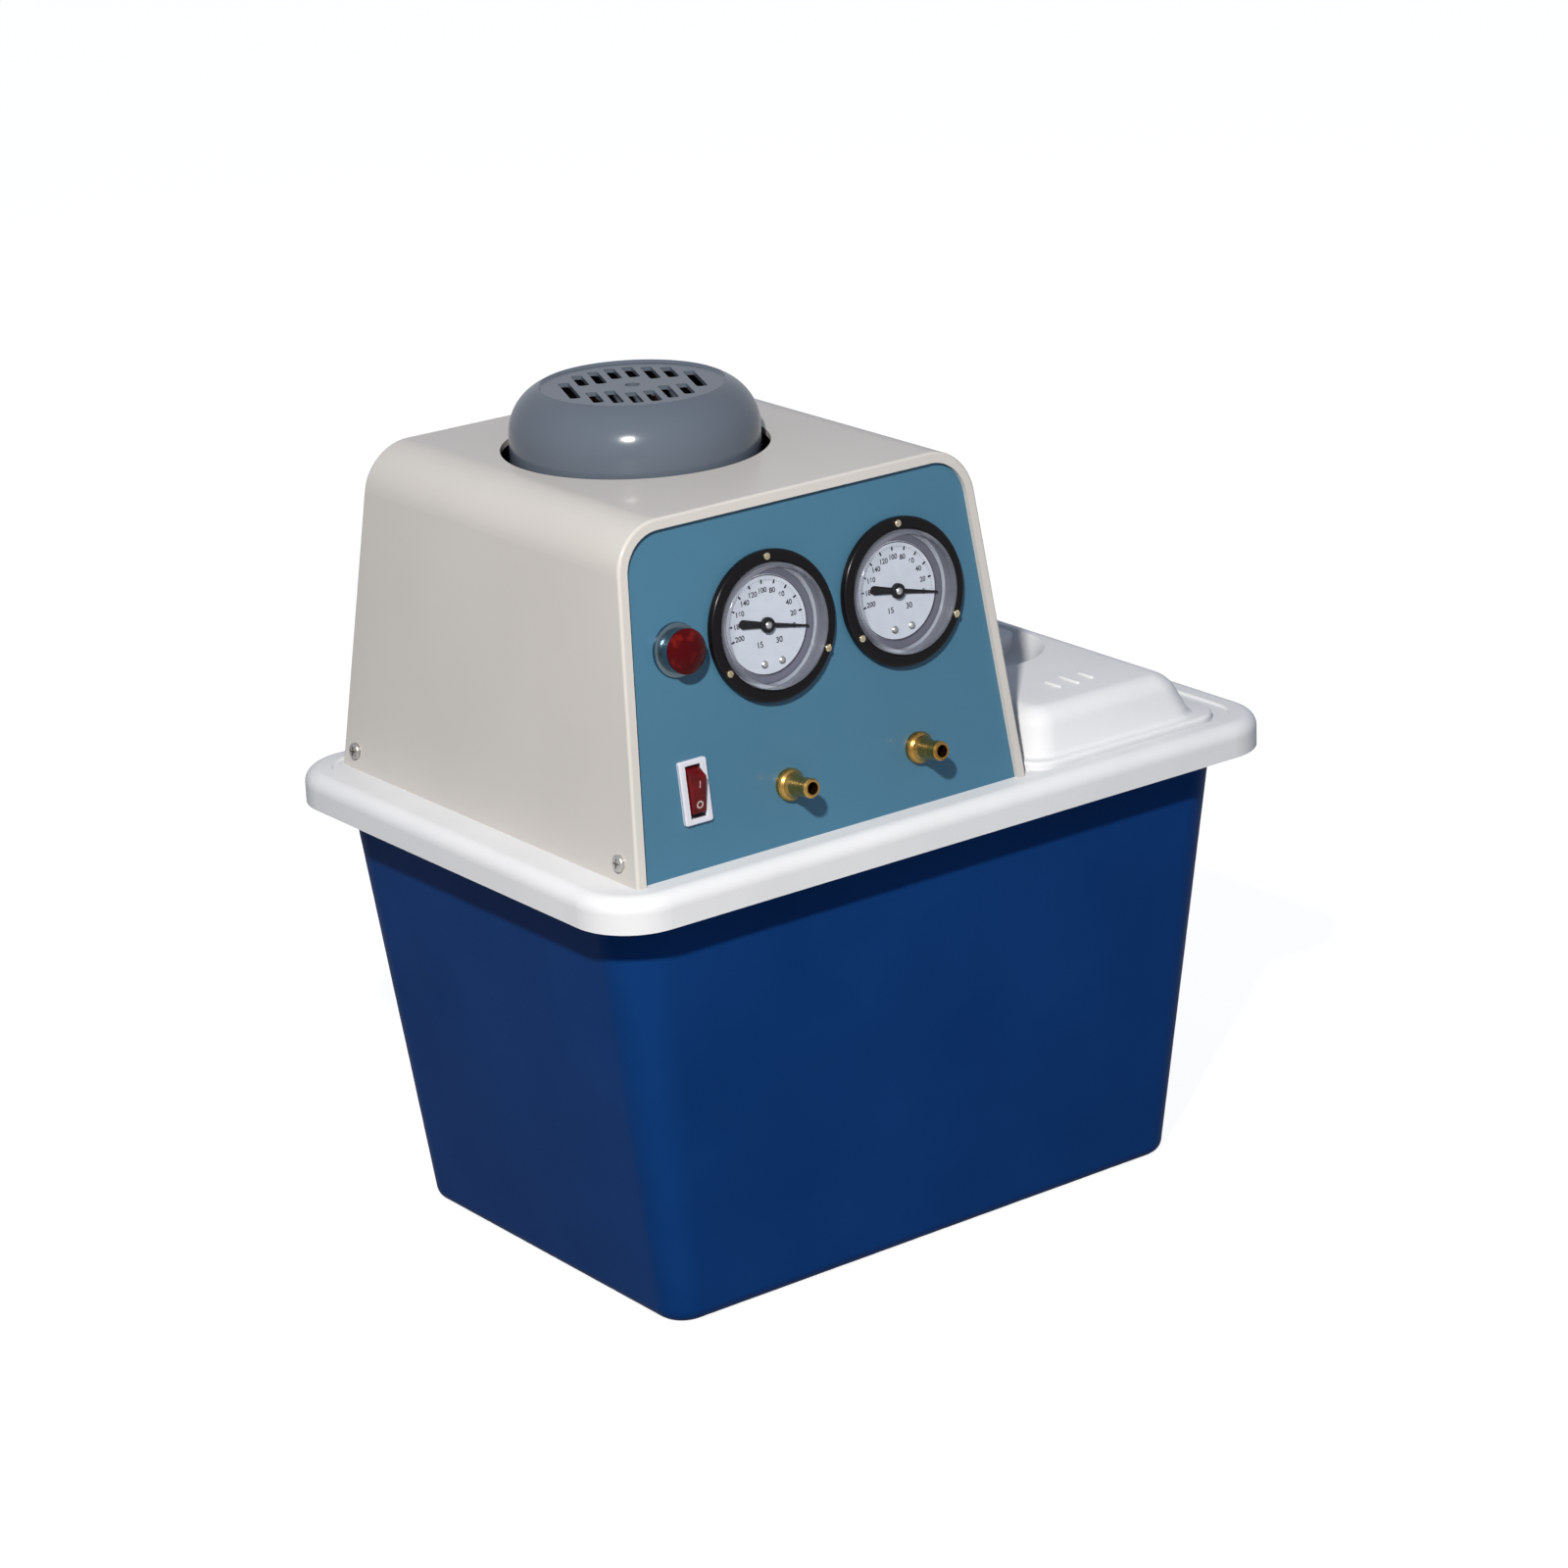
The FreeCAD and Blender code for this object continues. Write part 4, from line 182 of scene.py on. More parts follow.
pipeGrey = {"colour": (0.20, 0.21, 0.225), "deep": (0.16, 0.17, 0.185), "rough": 0.42, "roughDrift": 0.12,
            "skin": 0.08, "driftScale": 40}
hoseRubber = {"colour": (0.48, 0.45, 0.38), "deep": (0.40, 0.37, 0.31), "rough": 0.46, "roughDrift": 0.12,
              "skin": 0.12, "driftScale": 50, "speckShare": 0.1}
fittingBlue = {"colour": (0.008, 0.055, 0.19), "deep": (0.006, 0.045, 0.16), "rough": 0.34, "roughDrift": 0.1,
               "skin": 0.06, "driftScale": 90}
# dial step: its dark lavender grey is painted shade of the lens wall on the dial's rim
shadedDialStepGrey = {"colour": (0.12, 0.12, 0.16), "deep": (0.10, 0.10, 0.13), "rough": 0.25, "roughDrift": 0.08,
                "skin": 0.02, "skinScale": 700, "specular": 0.4}
frameWhite = {"colour": (0.62, 0.63, 0.68), "deep": (0.58, 0.59, 0.65), "rough": 0.30, "roughDrift": 0.08,
              "skin": 0.03, "skinScale": 700, "specular": 0.3}


# bare metal: turning or casting marks and drifts of tarnish
bareMetal = {"turn": (0, 0, 0), "stretch": (1, 1, 1), "markScale": 500, "marks": 0.08, "markDepth": 0.0004,
             "stainScale": 60, "tarnish": ((0.40, 0.0), (0.72, 1.0))}


def metalFinish(name, look):
    look = {**bareMetal, **look}
    material, graph = newMaterial(name)
    marks = graph.noise(look["markScale"], 3, graph.place(look["turn"], look["stretch"]))
    stain = graph.noise(look["stainScale"], 5)
    colour = graph.blend(graph.ramp(stain, *look["tarnish"]), look["colour"], look["stain"])
    rough = look["rough"] + marks * look["roughDrift"]
    bump = graph.bump(marks, look["marks"], look["markDepth"])
    graph.finish(graph.surface({"Base Color": colour, "Metallic": 1.0, "Roughness": rough, "Normal": bump}))
    return material


panelLean = 7.665  # degrees from upright
turnedBrass = {"colour": (0.62, 0.36, 0.10), "stain": (0.40, 0.21, 0.05), "rough": 0.20, "roughDrift": 0.14,
               "turn": (-panelLean, 0, 0), "stretch": (6, 0.2, 6), "markScale": 900, "marks": 0.15}
# chrome trim: the teal in its colour and stain is a painted reflection of the teal panel
tealReflectionChrome = {"colour": (0.20, 0.27, 0.31), "stain": (0.15, 0.21, 0.25), "rough": 0.20, "roughDrift": 0.08,
              "marks": 0.02}
platedScrew = {"colour": (0.66, 0.65, 0.62), "stain": (0.42, 0.40, 0.36), "rough": 0.22, "roughDrift": 0.16}
brassScrew = {"colour": (0.80, 0.72, 0.50), "stain": (0.62, 0.50, 0.28), "rough": 0.18, "roughDrift": 0.14}
castAlloy = {"colour": (0.52, 0.53, 0.54), "stain": (0.40, 0.41, 0.42), "rough": 0.42, "roughDrift": 0.2,
             "markScale": 380, "marks": 0.3}
coreSteel = {"colour": (0.30, 0.30, 0.31), "stain": (0.20, 0.19, 0.19), "rough": 0.38, "roughDrift": 0.2,
             "stretch": (30, 30, 1), "markScale": 1600, "marks": 0.5}
windingCopper = {"colour": (0.46, 0.17, 0.06), "stain": (0.30, 0.10, 0.035), "rough": 0.30, "roughDrift": 0.2,
                 "stretch": (8, 8, 0.6), "markScale": 420, "marks": 0.6}
groundSteel = {"colour": (0.60, 0.61, 0.62), "stain": (0.50, 0.51, 0.52), "rough": 0.18, "roughDrift": 0.12,
               "stretch": (20, 20, 0.4), "markScale": 900, "marks": 0.08}
pumpSteel = {"colour": (0.50, 0.51, 0.52), "stain": (0.38, 0.39, 0.40), "rough": 0.28, "roughDrift": 0.18,
             "stretch": (12, 12, 0.6), "markScale": 600, "marks": 0.15}
bronze = {"colour": (0.48, 0.27, 0.10), "stain": (0.32, 0.18, 0.07), "rough": 0.34, "roughDrift": 0.16, "marks": 0.15}


# enamelled dial: pale blue-grey with faint soiling
dialEnamel = {"colour": (0.56, 0.59, 0.65), "deep": (0.51, 0.54, 0.60), "rough": 0.42, "driftScale": 160,
              "drift": ((0.35, 0.0), (0.75, 1.0)), "skinScale": 2000, "skin": 0.03, "skinDepth": 0.0003}


def dialFinish(name, look):
    material, graph = newMaterial(name)
    drift = graph.ramp(graph.noise(look["driftScale"], 4), *look["drift"])
    skin = graph.bump(graph.noise(look["skinScale"], 2), look["skin"], look["skinDepth"])
    colour = graph.blend(drift, look["colour"], look["deep"])
    graph.finish(graph.surface({"Base Color": colour, "Roughness": look["rough"], "Normal": skin}))
    return material


# clear moulding: mostly see-through, brighter where it is seen edge on, with streaks of haze that are painted
# reflection where asked for
clearMoulding = {"turn": (0, 0, 0), "stretch": (1, 1, 1), "waveScale": 60, "wave": 0.03, "waveDepth": 0.0006,
                 "falloff": 4.0, "specular": 0.6, "through": (0.97, 0.98, 0.99), "paintedReflectionStreaks": 0.0}


def clearFinish(name, look):
    look = {**clearMoulding, **look}
    material, graph = newMaterial(name)
    wave = graph.noise(look["waveScale"], 2, graph.place(look["turn"], look["stretch"]))
    normal = graph.bump(wave, look["wave"], look["waveDepth"])
    edge = graph.node("ShaderNodeLayerWeight", None, {"Blend": 0.5, "Normal": normal}, out="Facing")
    gloss = edge.maths("POWER", edge, look["falloff"])
    shine = graph.surface({"Base Color": tone(look["colour"]), "Roughness": look["rough"], "Normal": normal,
                           "Specular IOR Level": look["specular"]})
    clear = graph.node("ShaderNodeBsdfTransparent", None, {"Color": tone(look["through"])})
    # streaks of extra haze: painted reflection
    share = gloss * look["gloss"] + look["haze"] + wave * look["paintedReflectionStreaks"]
    shadow = graph.node("ShaderNodeLightPath", out="Is Shadow Ray")
    share = share * (1 - shadow * look["letThrough"])
    graph.finish(graph.node("ShaderNodeMixShader", None, {0: share, 1: clear, 2: shine}))
    return material


lensFront = {"colour": (0.75, 0.78, 0.84), "rough": 0.05, "gloss": 0.6, "haze": 0.01, "letThrough": 0.9}
lensWall = {"colour": (0.24, 0.25, 0.30), "rough": 0.12, "gloss": 0.8, "haze": 0.30, "paintedReflectionStreaks": 0.10, "waveScale": 50,
            "wave": 0.06, "turn": (-panelLean, 0, 0), "stretch": (2, 0.5, 2), "letThrough": 0.85}


# the lamp's clear red cap: darker where it is seen edge on, as painted shade, cloudier and brighter in places, with
# fine ribs under the gloss
lampRed = {"glow": (0.13, 0.006, 0.004), "deep": (0.060, 0.001, 0.002), "edge": (0.012, 0.0, 0.0), "rough": 0.12,
           "cloudScale": 170, "clouds": ((0.52, 0.0), (0.68, 1.0)), "rim": ((0.45, 0.0), (0.8, 1.0)), "ribScale": 260.0,
           "ribs": 0.03, "ribDepth": 0.0003, "specular": 0.08, "coat": 0.05, "coatRough": 0.05}


def lampFinish(name, look):
    material, graph = newMaterial(name)
    ribs = graph.node("ShaderNodeTexWave", {"bands_direction": "X"},
                      {"Vector": graph.place(), "Scale": look["ribScale"]}, out="Fac")
    cloud = graph.ramp(graph.noise(look["cloudScale"], 2), *look["clouds"])
    edgeOnShade = graph.node("ShaderNodeLayerWeight", None, {"Blend": 0.5}, out="Facing")
    colour = graph.blend(cloud, look["deep"], look["glow"])
    # painted shade: the cap turns to the dark edge colour where it is seen edge on
    colour = graph.blend(graph.ramp(edgeOnShade, *look["rim"]), colour, look["edge"])
    sockets = {"Base Color": colour, "Roughness": look["rough"], "Specular IOR Level": look["specular"],
               "Coat Weight": look["coat"], "Coat Roughness": look["coatRough"],
               "Normal": graph.bump(ribs, look["ribs"], look["ribDepth"])}
    graph.finish(graph.surface(sockets))
    return material


# printed ink
ink = {"pointer": (0.002, 0.002, 0.003), "dial": (0.02, 0.02, 0.03), "rocker": (0.34, 0.27, 0.26), "grainScale": 900,
       "wear": 1.6, "wearLift": 0.01, "rough": 0.5, "specular": 0.12}


def inkFinish(name, colour):
    material, graph = newMaterial(name)
    worn = [c * ink["wear"] + ink["wearLift"] for c in colour]
    shade = graph.blend(graph.noise(ink["grainScale"], 3), colour, worn)
    graph.finish(graph.surface({"Base Color": shade, "Roughness": ink["rough"], "Specular IOR Level": ink["specular"]}))
    return material


materials = {
    "blue_tank": mouldedFinish("tankBlue", tankBlue),
    "blue_fittings": mouldedFinish("fittingBlue", fittingBlue),
    "white_moulding": mouldedFinish("lidWhite", lidWhite),
    "cream_paint": mouldedFinish("hoodCream", hoodCream),
    "teal_paint": mouldedFinish("panelTeal", panelTeal),
    "grey_moulding": mouldedFinish("coverGrey", coverGrey),
    "black_bezel": mouldedFinish("bezelBlack", bezelBlack),
    "black_plastic": mouldedFinish("plainBlack", plainBlack),
    "dial_paint": dialFinish("dialEnamel", dialEnamel),
    "clear_lens": clearFinish("lensFront", lensFront),
    "pointer_paint": inkFinish("pointerBlack", ink["pointer"]),
    "turned_brass": metalFinish("turnedBrass", turnedBrass),
    "chrome_trim": metalFinish("tealReflectionChrome", tealReflectionChrome),
    "red_lens": lampFinish("lampRed", lampRed),
    "white_switch": mouldedFinish("frameWhite", frameWhite),
    "red_rocker": mouldedFinish("rockerRed", rockerRed),
    "steel_screws": metalFinish("platedScrew", platedScrew),
    "brass_screws": metalFinish("brassScrew", brassScrew),
    "cast_aluminium": metalFinish("castAlloy", castAlloy),
    "core_steel": metalFinish("coreSteel", coreSteel),
    "copper_winding": metalFinish("windingCopper", windingCopper),
    "bearing_steel": metalFinish("groundSteel", groundSteel),
    "stainless_shaft": metalFinish("shaftSteel", groundSteel),
    "stainless_pump": metalFinish("pumpSteel", pumpSteel),
    "bronze_bush": metalFinish("bronze", bronze),
    "red_fan": mouldedFinish("fanRed", fanRed),
    "grey_pipe": mouldedFinish("pipeGrey", pipeGrey),
    "rubber_hose": mouldedFinish("hoseRubber", hoseRubber),
}
lensWallMaterial = clearFinish("lensWall", lensWall)
shadedDialStepMaterial = mouldedFinish("shadedDialStep", shadedDialStepGrey)
inkMaterial = inkFinish("dialInk", ink["dial"])
rockerInkMaterial = inkFinish("switchInk", ink["rocker"])
print("finishes made:", len(materials))

for name, node in nodes.items():
    for slot in node.material_slots:
        slot.material = materials[slotOf[name]]
print("CAD nodes dressed")


# puts a finished bmesh in its place as a piece that rides on a body and may stand for CAD nodes
def makePiece(name, bm, material, body, replaced=(), place=Matrix(), crease=32):
    bmesh.ops.transform(bm, matrix=place, verts=bm.verts)
    mesh = bpy.data.meshes.new(name)
    bm.to_mesh(mesh)
    bm.free()
    mesh.shade_smooth()
    mesh.set_sharp_from_angle(angle=math.radians(crease))
    mesh.materials.append(material)
    piece = bpy.data.objects.new(name, mesh)
    scene.collection.objects.link(piece)
    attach(piece, body)
    if replaced:
        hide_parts(*replaced)


# adds the mesh of one finished bmesh to another
def pourInto(bm, other):
    mesh = bpy.data.meshes.new("part")
    other.to_mesh(mesh)
    other.free()
    bm.from_mesh(mesh)
    bpy.data.meshes.remove(mesh)


# places on the leaning instrument panel, in metres: across, up the slope and squarely out
panel = {"foot": (0, -0.1235, 0.229), "gaugeUp": 0.1016, "switchUp": 0.0365, "switchAcross": -0.1375,
         "face": -0.0025, "gaugeAcross": (-0.085, -0.0094)}


def onPanel(across, up, out=0.0):
    lean = Matrix.Rotation(math.radians(90 - panelLean), 4, "X")
    return Matrix.Translation(panel["foot"]) @ lean @ Matrix.Translation((across, up, out))


# full turn of an outline, given as radius and height
def spinProfile(points, steps=96):
    bm = bmesh.new()
    ring = [bm.verts.new((radius, 0, height)) for radius, height in points]
    edges = [bm.edges.new(pair) for pair in zip(ring, ring[1:])]
    bmesh.ops.spin(bm, geom=ring + edges, cent=(0, 0, 0), axis=(0, 0, 1), angle=math.tau, steps=steps,
                   use_merge=True, dvec=(0, 0, 0))
    bmesh.ops.remove_doubles(bm, verts=bm.verts, dist=closeBy)
    bmesh.ops.recalc_face_normals(bm, faces=bm.faces)
    return bm


# steps of a quarter round: how far the sine and the cosine are from 1
def quarterRound(start, stop, step):
    return [(1 - math.sin(math.radians(a)), 1 - math.cos(math.radians(a))) for a in range(start, stop, step)]


# gauge lens: a clear front with a rounded edge and a thick wall that catches the light
lensSizes = {"radius": 0.02895, "wall": 0.002, "foot": -0.003, "top": 0.0072, "edge": 0.0016}


def buildLens(side, across):
    s = lensSizes
    inner = s["radius"] - s["wall"]
    place = onPanel(across, panel["gaugeUp"], panel["face"])
    turn = [(s["radius"] - s["edge"] * offSine, s["top"] - s["edge"] * offCosine)
            for offSine, offCosine in quarterRound(0, 91, 15)]
    front = spinProfile([(0.0, s["top"]), (inner / 2, s["top"]), (inner, s["top"])])
    makePiece("gaugeLensFront" + side.capitalize(), front, materials["clear_lens"], "pump_head",
              ["gauge_lens_" + side], place)
    wall = spinProfile([(inner, s["top"])] + turn + [(s["radius"], s["foot"]), (inner, s["foot"]),
                                                     (inner, s["top"] - s["wall"]), (inner, s["top"])])
    makePiece("gaugeLensWall" + side.capitalize(), wall, lensWallMaterial, "pump_head",
              ["gauge_lens_" + side], place)


# thin dial plate on the enamel, and a raised step round it, under the lens, whose dark grey is painted shade of the
# lens wall on the dial's rim
dialPlate = {"radius": 0.0231, "thickness": 0.0007, "edge": 0.0002, "foot": -0.0055, "stepFoot": 0.0001,
             "stepFlat": 0.0012, "stepSlope": 0.001, "stepOuter": 0.0268, "stepRise": 0.0006}


def buildDialPlate(side, across):
    d = dialPlate
    place = onPanel(across, panel["gaugeUp"], d["foot"])
    plate = spinProfile([(0.0, d["thickness"]), (d["radius"] - d["edge"], d["thickness"]),
                         (d["radius"], d["thickness"] - d["edge"]), (d["radius"], 0.0)])
    makePiece("dialPlate" + side.capitalize(), plate, materials["dial_paint"], "pump_head", place=place)
    step = spinProfile([(d["radius"], d["stepFoot"]), (d["radius"] + d["stepFlat"], d["stepFoot"]),
                        (d["stepOuter"] - d["stepSlope"], d["stepRise"]), (d["stepOuter"], d["stepRise"])])
    makePiece("shadedDialStep" + side.capitalize(), step, shadedDialStepMaterial, "pump_head", place=place)


# dial print: ticks, numbers, two numbers of a second scale and a dark ring at the plate's edge, as flat ink on the
# plate; the ring is a painted shadow line
dialPrint = {"start": -12.4, "sweep": 204.8, "divisions": 10, "minor": 5, "outer": 0.0209, "majorInner": 0.0190,
             "minorInner": 0.0202, "majorWidth": 0.00095, "minorWidth": 0.00022, "numberRadius": 0.0159,
             "numberSize": 0.0034, "weight": 0.00008, "perDivision": 20, "ring": 0.0229, "ringWidth": 0.00045,
             "second": {"15": (-0.0048, -0.0085), "30": (0.0062, -0.0082)}, "secondSize": 0.0038, "lift": 0.00006}


def addBar(bm, angle, inner, outer, width):
    made = bmesh.ops.create_grid(bm, x_segments=1, y_segments=1, size=0.5)["verts"]
    bmesh.ops.scale(bm, vec=(outer - inner, width, 1), verts=made)
    bmesh.ops.translate(bm, vec=((outer + inner) / 2, 0, 0), verts=made)
    bmesh.ops.rotate(bm, cent=(0, 0, 0), matrix=Matrix.Rotation(math.radians(angle), 3, "Z"), verts=made)


def addRing(bm, radius, width, segments=96):
    disc = bmesh.ops.create_circle(bm, cap_ends=True, segments=segments, radius=radius)["verts"][0].link_faces[:]
    band = bmesh.ops.inset_region(bm, faces=disc, thickness=width, use_boundary=True)["faces"]
    bmesh.ops.delete(bm, geom=disc, context="FACES_ONLY")
    return list({v for f in band for v in f.verts})


def addNumber(bm, words, size, place):
    curve = bpy.data.curves.new("number", "FONT")
    curve.body = words
    curve.size = size
    curve.offset = dialPrint["weight"]
    curve.align_x = "CENTER"
    curve.align_y = "CENTER"
    holder = bpy.data.objects.new("number", curve)
    scene.collection.objects.link(holder)
    mesh = bpy.data.meshes.new_from_object(holder)
    bpy.data.objects.remove(holder)
    mesh.transform(place)
    bm.from_mesh(mesh)
    bpy.data.meshes.remove(mesh)


def buildDialPrint(side, across):
    p = dialPrint
    bm = bmesh.new()
    for step in range(p["divisions"] * p["minor"] + 1):
        angle = p["start"] + p["sweep"] * step / (p["divisions"] * p["minor"])
        major = step % p["minor"] == 0
        addBar(bm, angle, p["majorInner"] if major else p["minorInner"], p["outer"],
               p["majorWidth"] if major else p["minorWidth"])
    for step in range(p["divisions"] + 1):
        angle = p["start"] + p["sweep"] * step / p["divisions"]
        turn = Matrix.Rotation(math.radians(angle), 4, "Z") @ Matrix.Translation((p["numberRadius"], 0, 0))
        upright = Matrix.Rotation(math.radians(-angle), 4, "Z")
        addNumber(bm, str(step * p["perDivision"]), p["numberSize"], turn @ upright)
    for words, (right, up) in p["second"].items():
        addNumber(bm, words, p["secondSize"], Matrix.Translation((right, up, 0)))
    # dark ring at the plate's edge: a painted shadow line where the dial meets the step
    addRing(bm, p["ring"], p["ringWidth"])
    place = onPanel(across, panel["gaugeUp"], dialPlate["foot"] + dialPlate["thickness"] + p["lift"])
    makePiece("dialPrint" + side.capitalize(), bm, inkMaterial, "pump_head", place=place)


# two small round-headed screws that hold each dial
dialScrew = {"radius": 0.0019, "height": 0.0011, "across": 0.005, "shift": 0.0016, "drop": -0.0178}


# outline of a shallow dome from its top to its rim
def domeProfile(radius, height, foot=0.0, steps=6):
    curve = (radius ** 2 + height ** 2) / 2 / height
    reach = math.asin(radius / curve)
    return [(curve * math.sin(reach * k / steps), curve * math.cos(reach * k / steps) - curve + height + foot)
            for k in range(steps + 1)]


def buildDialScrews(side, across):
    s = dialScrew
    bm = bmesh.new()
    for sign in (-1, 1):
        head = spinProfile(domeProfile(s["radius"], s["height"]), 32)
        place = onPanel(across + s["shift"] + sign * s["across"], panel["gaugeUp"] + s["drop"],
                        dialPlate["foot"] + dialPlate["thickness"])
        bmesh.ops.transform(head, matrix=place, verts=head.verts)
        pourInto(bm, head)
    makePiece("dialScrews" + side.capitalize(), bm, materials["steel_screws"], "pump_head")


# bright domed cap on each pointer's hub
hubCap = {"radius": 0.0018, "height": 0.0009}


def buildHubCap(side, across):
    bm = spinProfile(domeProfile(hubCap["radius"], hubCap["height"]), 48)
    makePiece("hubCap" + side.capitalize(), bm, materials["steel_screws"], side + "_pointer",
              place=onPanel(across, panel["gaugeUp"], panel["face"]))


for side, across in zip(("left", "right"), panel["gaugeAcross"]):
    buildLens(side, across)
    buildDialPlate(side, across)
    buildDialPrint(side, across)
    buildDialScrews(side, across)
    buildHubCap(side, across)
print("gauges finished")


# lamp: a domed red cap as wide as its sleeve, on a round flange, with the tail and nut behind the panel
lampSizes = {"across": -0.1375, "flangeRadius": 0.0126, "flangeHeight": 0.0021, "flangeEdge": 0.0008,
             "flangeRound": (0.0003, 0.0005), "flangeSlope": 0.0012, "sleeveRadius": 0.0102, "sleeveHeight": 0.0082,
             "sleeveRound": 0.0003, "bore": 0.0094, "boreBed": 0.001, "capRadius": 0.0104, "capFoot": 0.0078,
             "capSide": 0.0090, "capTop": 0.0124, "tailRadius": 0.008, "tailLength": 0.020, "nutRadius": 0.0126,
             "nutHeight": 0.003, "panel": 0.0025}


def buildLamp():
    s = lampSizes
    place = onPanel(s["across"], panel["gaugeUp"], panel["face"])
    sleeve, flange, tail = s["sleeveRadius"], s["flangeRadius"], s["tailRadius"]
    bed, nutFoot = s["capFoot"] - s["boreBed"], -s["panel"] - s["nutHeight"]
    rimIn, rimDown = s["flangeRound"]
    bm = spinProfile([(0.0, bed), (s["bore"], bed), (s["bore"], s["sleeveHeight"]),
                      (sleeve - s["sleeveRound"], s["sleeveHeight"]), (sleeve, s["sleeveHeight"] - s["sleeveRound"]),
                      (sleeve, s["flangeHeight"]), (flange - s["flangeSlope"], s["flangeHeight"]),
                      (flange - rimIn, s["flangeHeight"] - rimDown), (flange, s["flangeEdge"]), (flange, 0.0),
                      (tail, 0.0), (tail, -s["panel"]), (s["nutRadius"], -s["panel"]), (s["nutRadius"], nutFoot),
                      (tail, nutFoot), (tail, -s["tailLength"]), (0.0, -s["tailLength"])])
    makePiece("lampSleeve", bm, materials["chrome_trim"], "pump_head", ["lamp_bezel"], place)
    dome = domeProfile(s["capRadius"], s["capTop"] - s["capSide"], s["capSide"])
    bm = spinProfile(dome + [(s["capRadius"], s["capFoot"]), (0.0, s["capFoot"])])
    makePiece("lampCap", bm, materials["red_lens"], "pump_head", ["lamp_lens"], place)


buildLamp()
print("lamp finished")


# power switch: the rocker's flat-faced form, the frame's narrower opening and the two marks
rocker = {"pivotDrop": 0.0015, "tilt": 12.0, "width": 0.0074, "half": 0.0115, "foot": -0.0002, "face": 0.0062,
          "faceHalf": 0.0086, "belly": -0.0065, "bellyHalf": 0.0045, "edge": 0.0003}
rockerMarks = {"lift": 0.00006, "barUp": 0.0052, "barLength": 0.0034, "barWidth": 0.0006, "ringUp": -0.0046,
               "ringRadius": 0.0019, "ringWidth": 0.0008}
switchFrame = {"width": 0.0152, "height": 0.0296, "corner": 0.0012, "foot": 0.0010, "top": 0.0020,
               "openWidth": 0.0084, "openHeight": 0.0244, "edge": 0.0005}


def onRocker():
    pivot = onPanel(panel["switchAcross"], panel["switchUp"], panel["face"] - rocker["pivotDrop"])
    return pivot @ Matrix.Rotation(math.radians(rocker["tilt"]), 4, "X")


def buildRocker():
    r = rocker
    outline = [(-r["faceHalf"], r["face"]), (r["faceHalf"], r["face"]), (r["half"], r["foot"]),
               (r["bellyHalf"], r["belly"]), (-r["bellyHalf"], r["belly"]), (-r["half"], r["foot"])]
    bm = bmesh.new()
    side = bm.faces.new([bm.verts.new((-r["width"] / 2, up, out)) for up, out in outline])
    far = bmesh.ops.extrude_face_region(bm, geom=[side], use_keep_orig=True)["geom"]
    bmesh.ops.translate(bm, vec=(r["width"], 0, 0), verts=[v for v in far if isinstance(v, bmesh.types.BMVert)])
    bmesh.ops.recalc_face_normals(bm, faces=bm.faces)
    bmesh.ops.bevel(bm, geom=bm.edges[:], offset=r["edge"], segments=3, profile=0.5, affect="EDGES", clamp_overlap=True)
    makePiece("rockerBody", bm, materials["red_rocker"], "switch_rocker", ["switch_rocker"],
              onRocker(), crease=50)


def buildRockerMarks():
    m = rockerMarks
    bm = bmesh.new()
    addBar(bm, 90, m["barUp"] - m["barLength"] / 2, m["barUp"] + m["barLength"] / 2, m["barWidth"])
    bmesh.ops.translate(bm, vec=(0, m["ringUp"], 0), verts=addRing(bm, m["ringRadius"], m["ringWidth"]))
    makePiece("rockerMarks", bm, rockerInkMaterial, "switch_rocker",
              place=onRocker() @ Matrix.Translation((0, 0, rocker["face"] + m["lift"])))


def buildSwitchFrame():
    f = switchFrame
    outer, opening = (f["width"], f["height"]), (f["openWidth"], f["openHeight"])
    bm = bmesh.new()
    rings = []
    for (width, height), level in ((outer, f["foot"]), (outer, f["top"]), (opening, f["top"]), (opening, f["foot"])):
        rings.append([bm.verts.new((x * width / 2, y * height / 2, level))
                      for x, y in ((-1, -1), (1, -1), (1, 1), (-1, 1))])
    for low, high in zip(rings, rings[1:] + rings[:1]):
        for k in range(4):
            bm.faces.new((low[k], low[(k + 1) % 4], high[(k + 1) % 4], high[k]))
    bmesh.ops.recalc_face_normals(bm, faces=bm.faces)
    between = (f["width"] + f["openWidth"]) / 4  # halfway from the opening's side to the frame's
    corners = [e for e in bm.edges if abs(e.verts[0].co.z - e.verts[1].co.z) > closeBy
               and abs(e.verts[0].co.x) > between]
    bmesh.ops.bevel(bm, geom=corners, offset=f["corner"], segments=5, profile=0.5, affect="EDGES")
    lip = [e for e in bm.edges if all(abs(v.co.z - f["top"]) < closeBy for v in e.verts) and len(e.link_faces) == 2
           and any(abs(face.normal.z) < 0.5 for face in e.link_faces)]
    bmesh.ops.bevel(bm, geom=lip, offset=f["edge"], segments=4, profile=0.5, affect="EDGES", clamp_overlap=True)
    makePiece("switchFrameTop", bm, materials["white_switch"], "pump_head",
              place=onPanel(panel["switchAcross"], panel["switchUp"], panel["face"]))


buildRocker()
buildRockerMarks()
buildSwitchFrame()
print("switch finished")


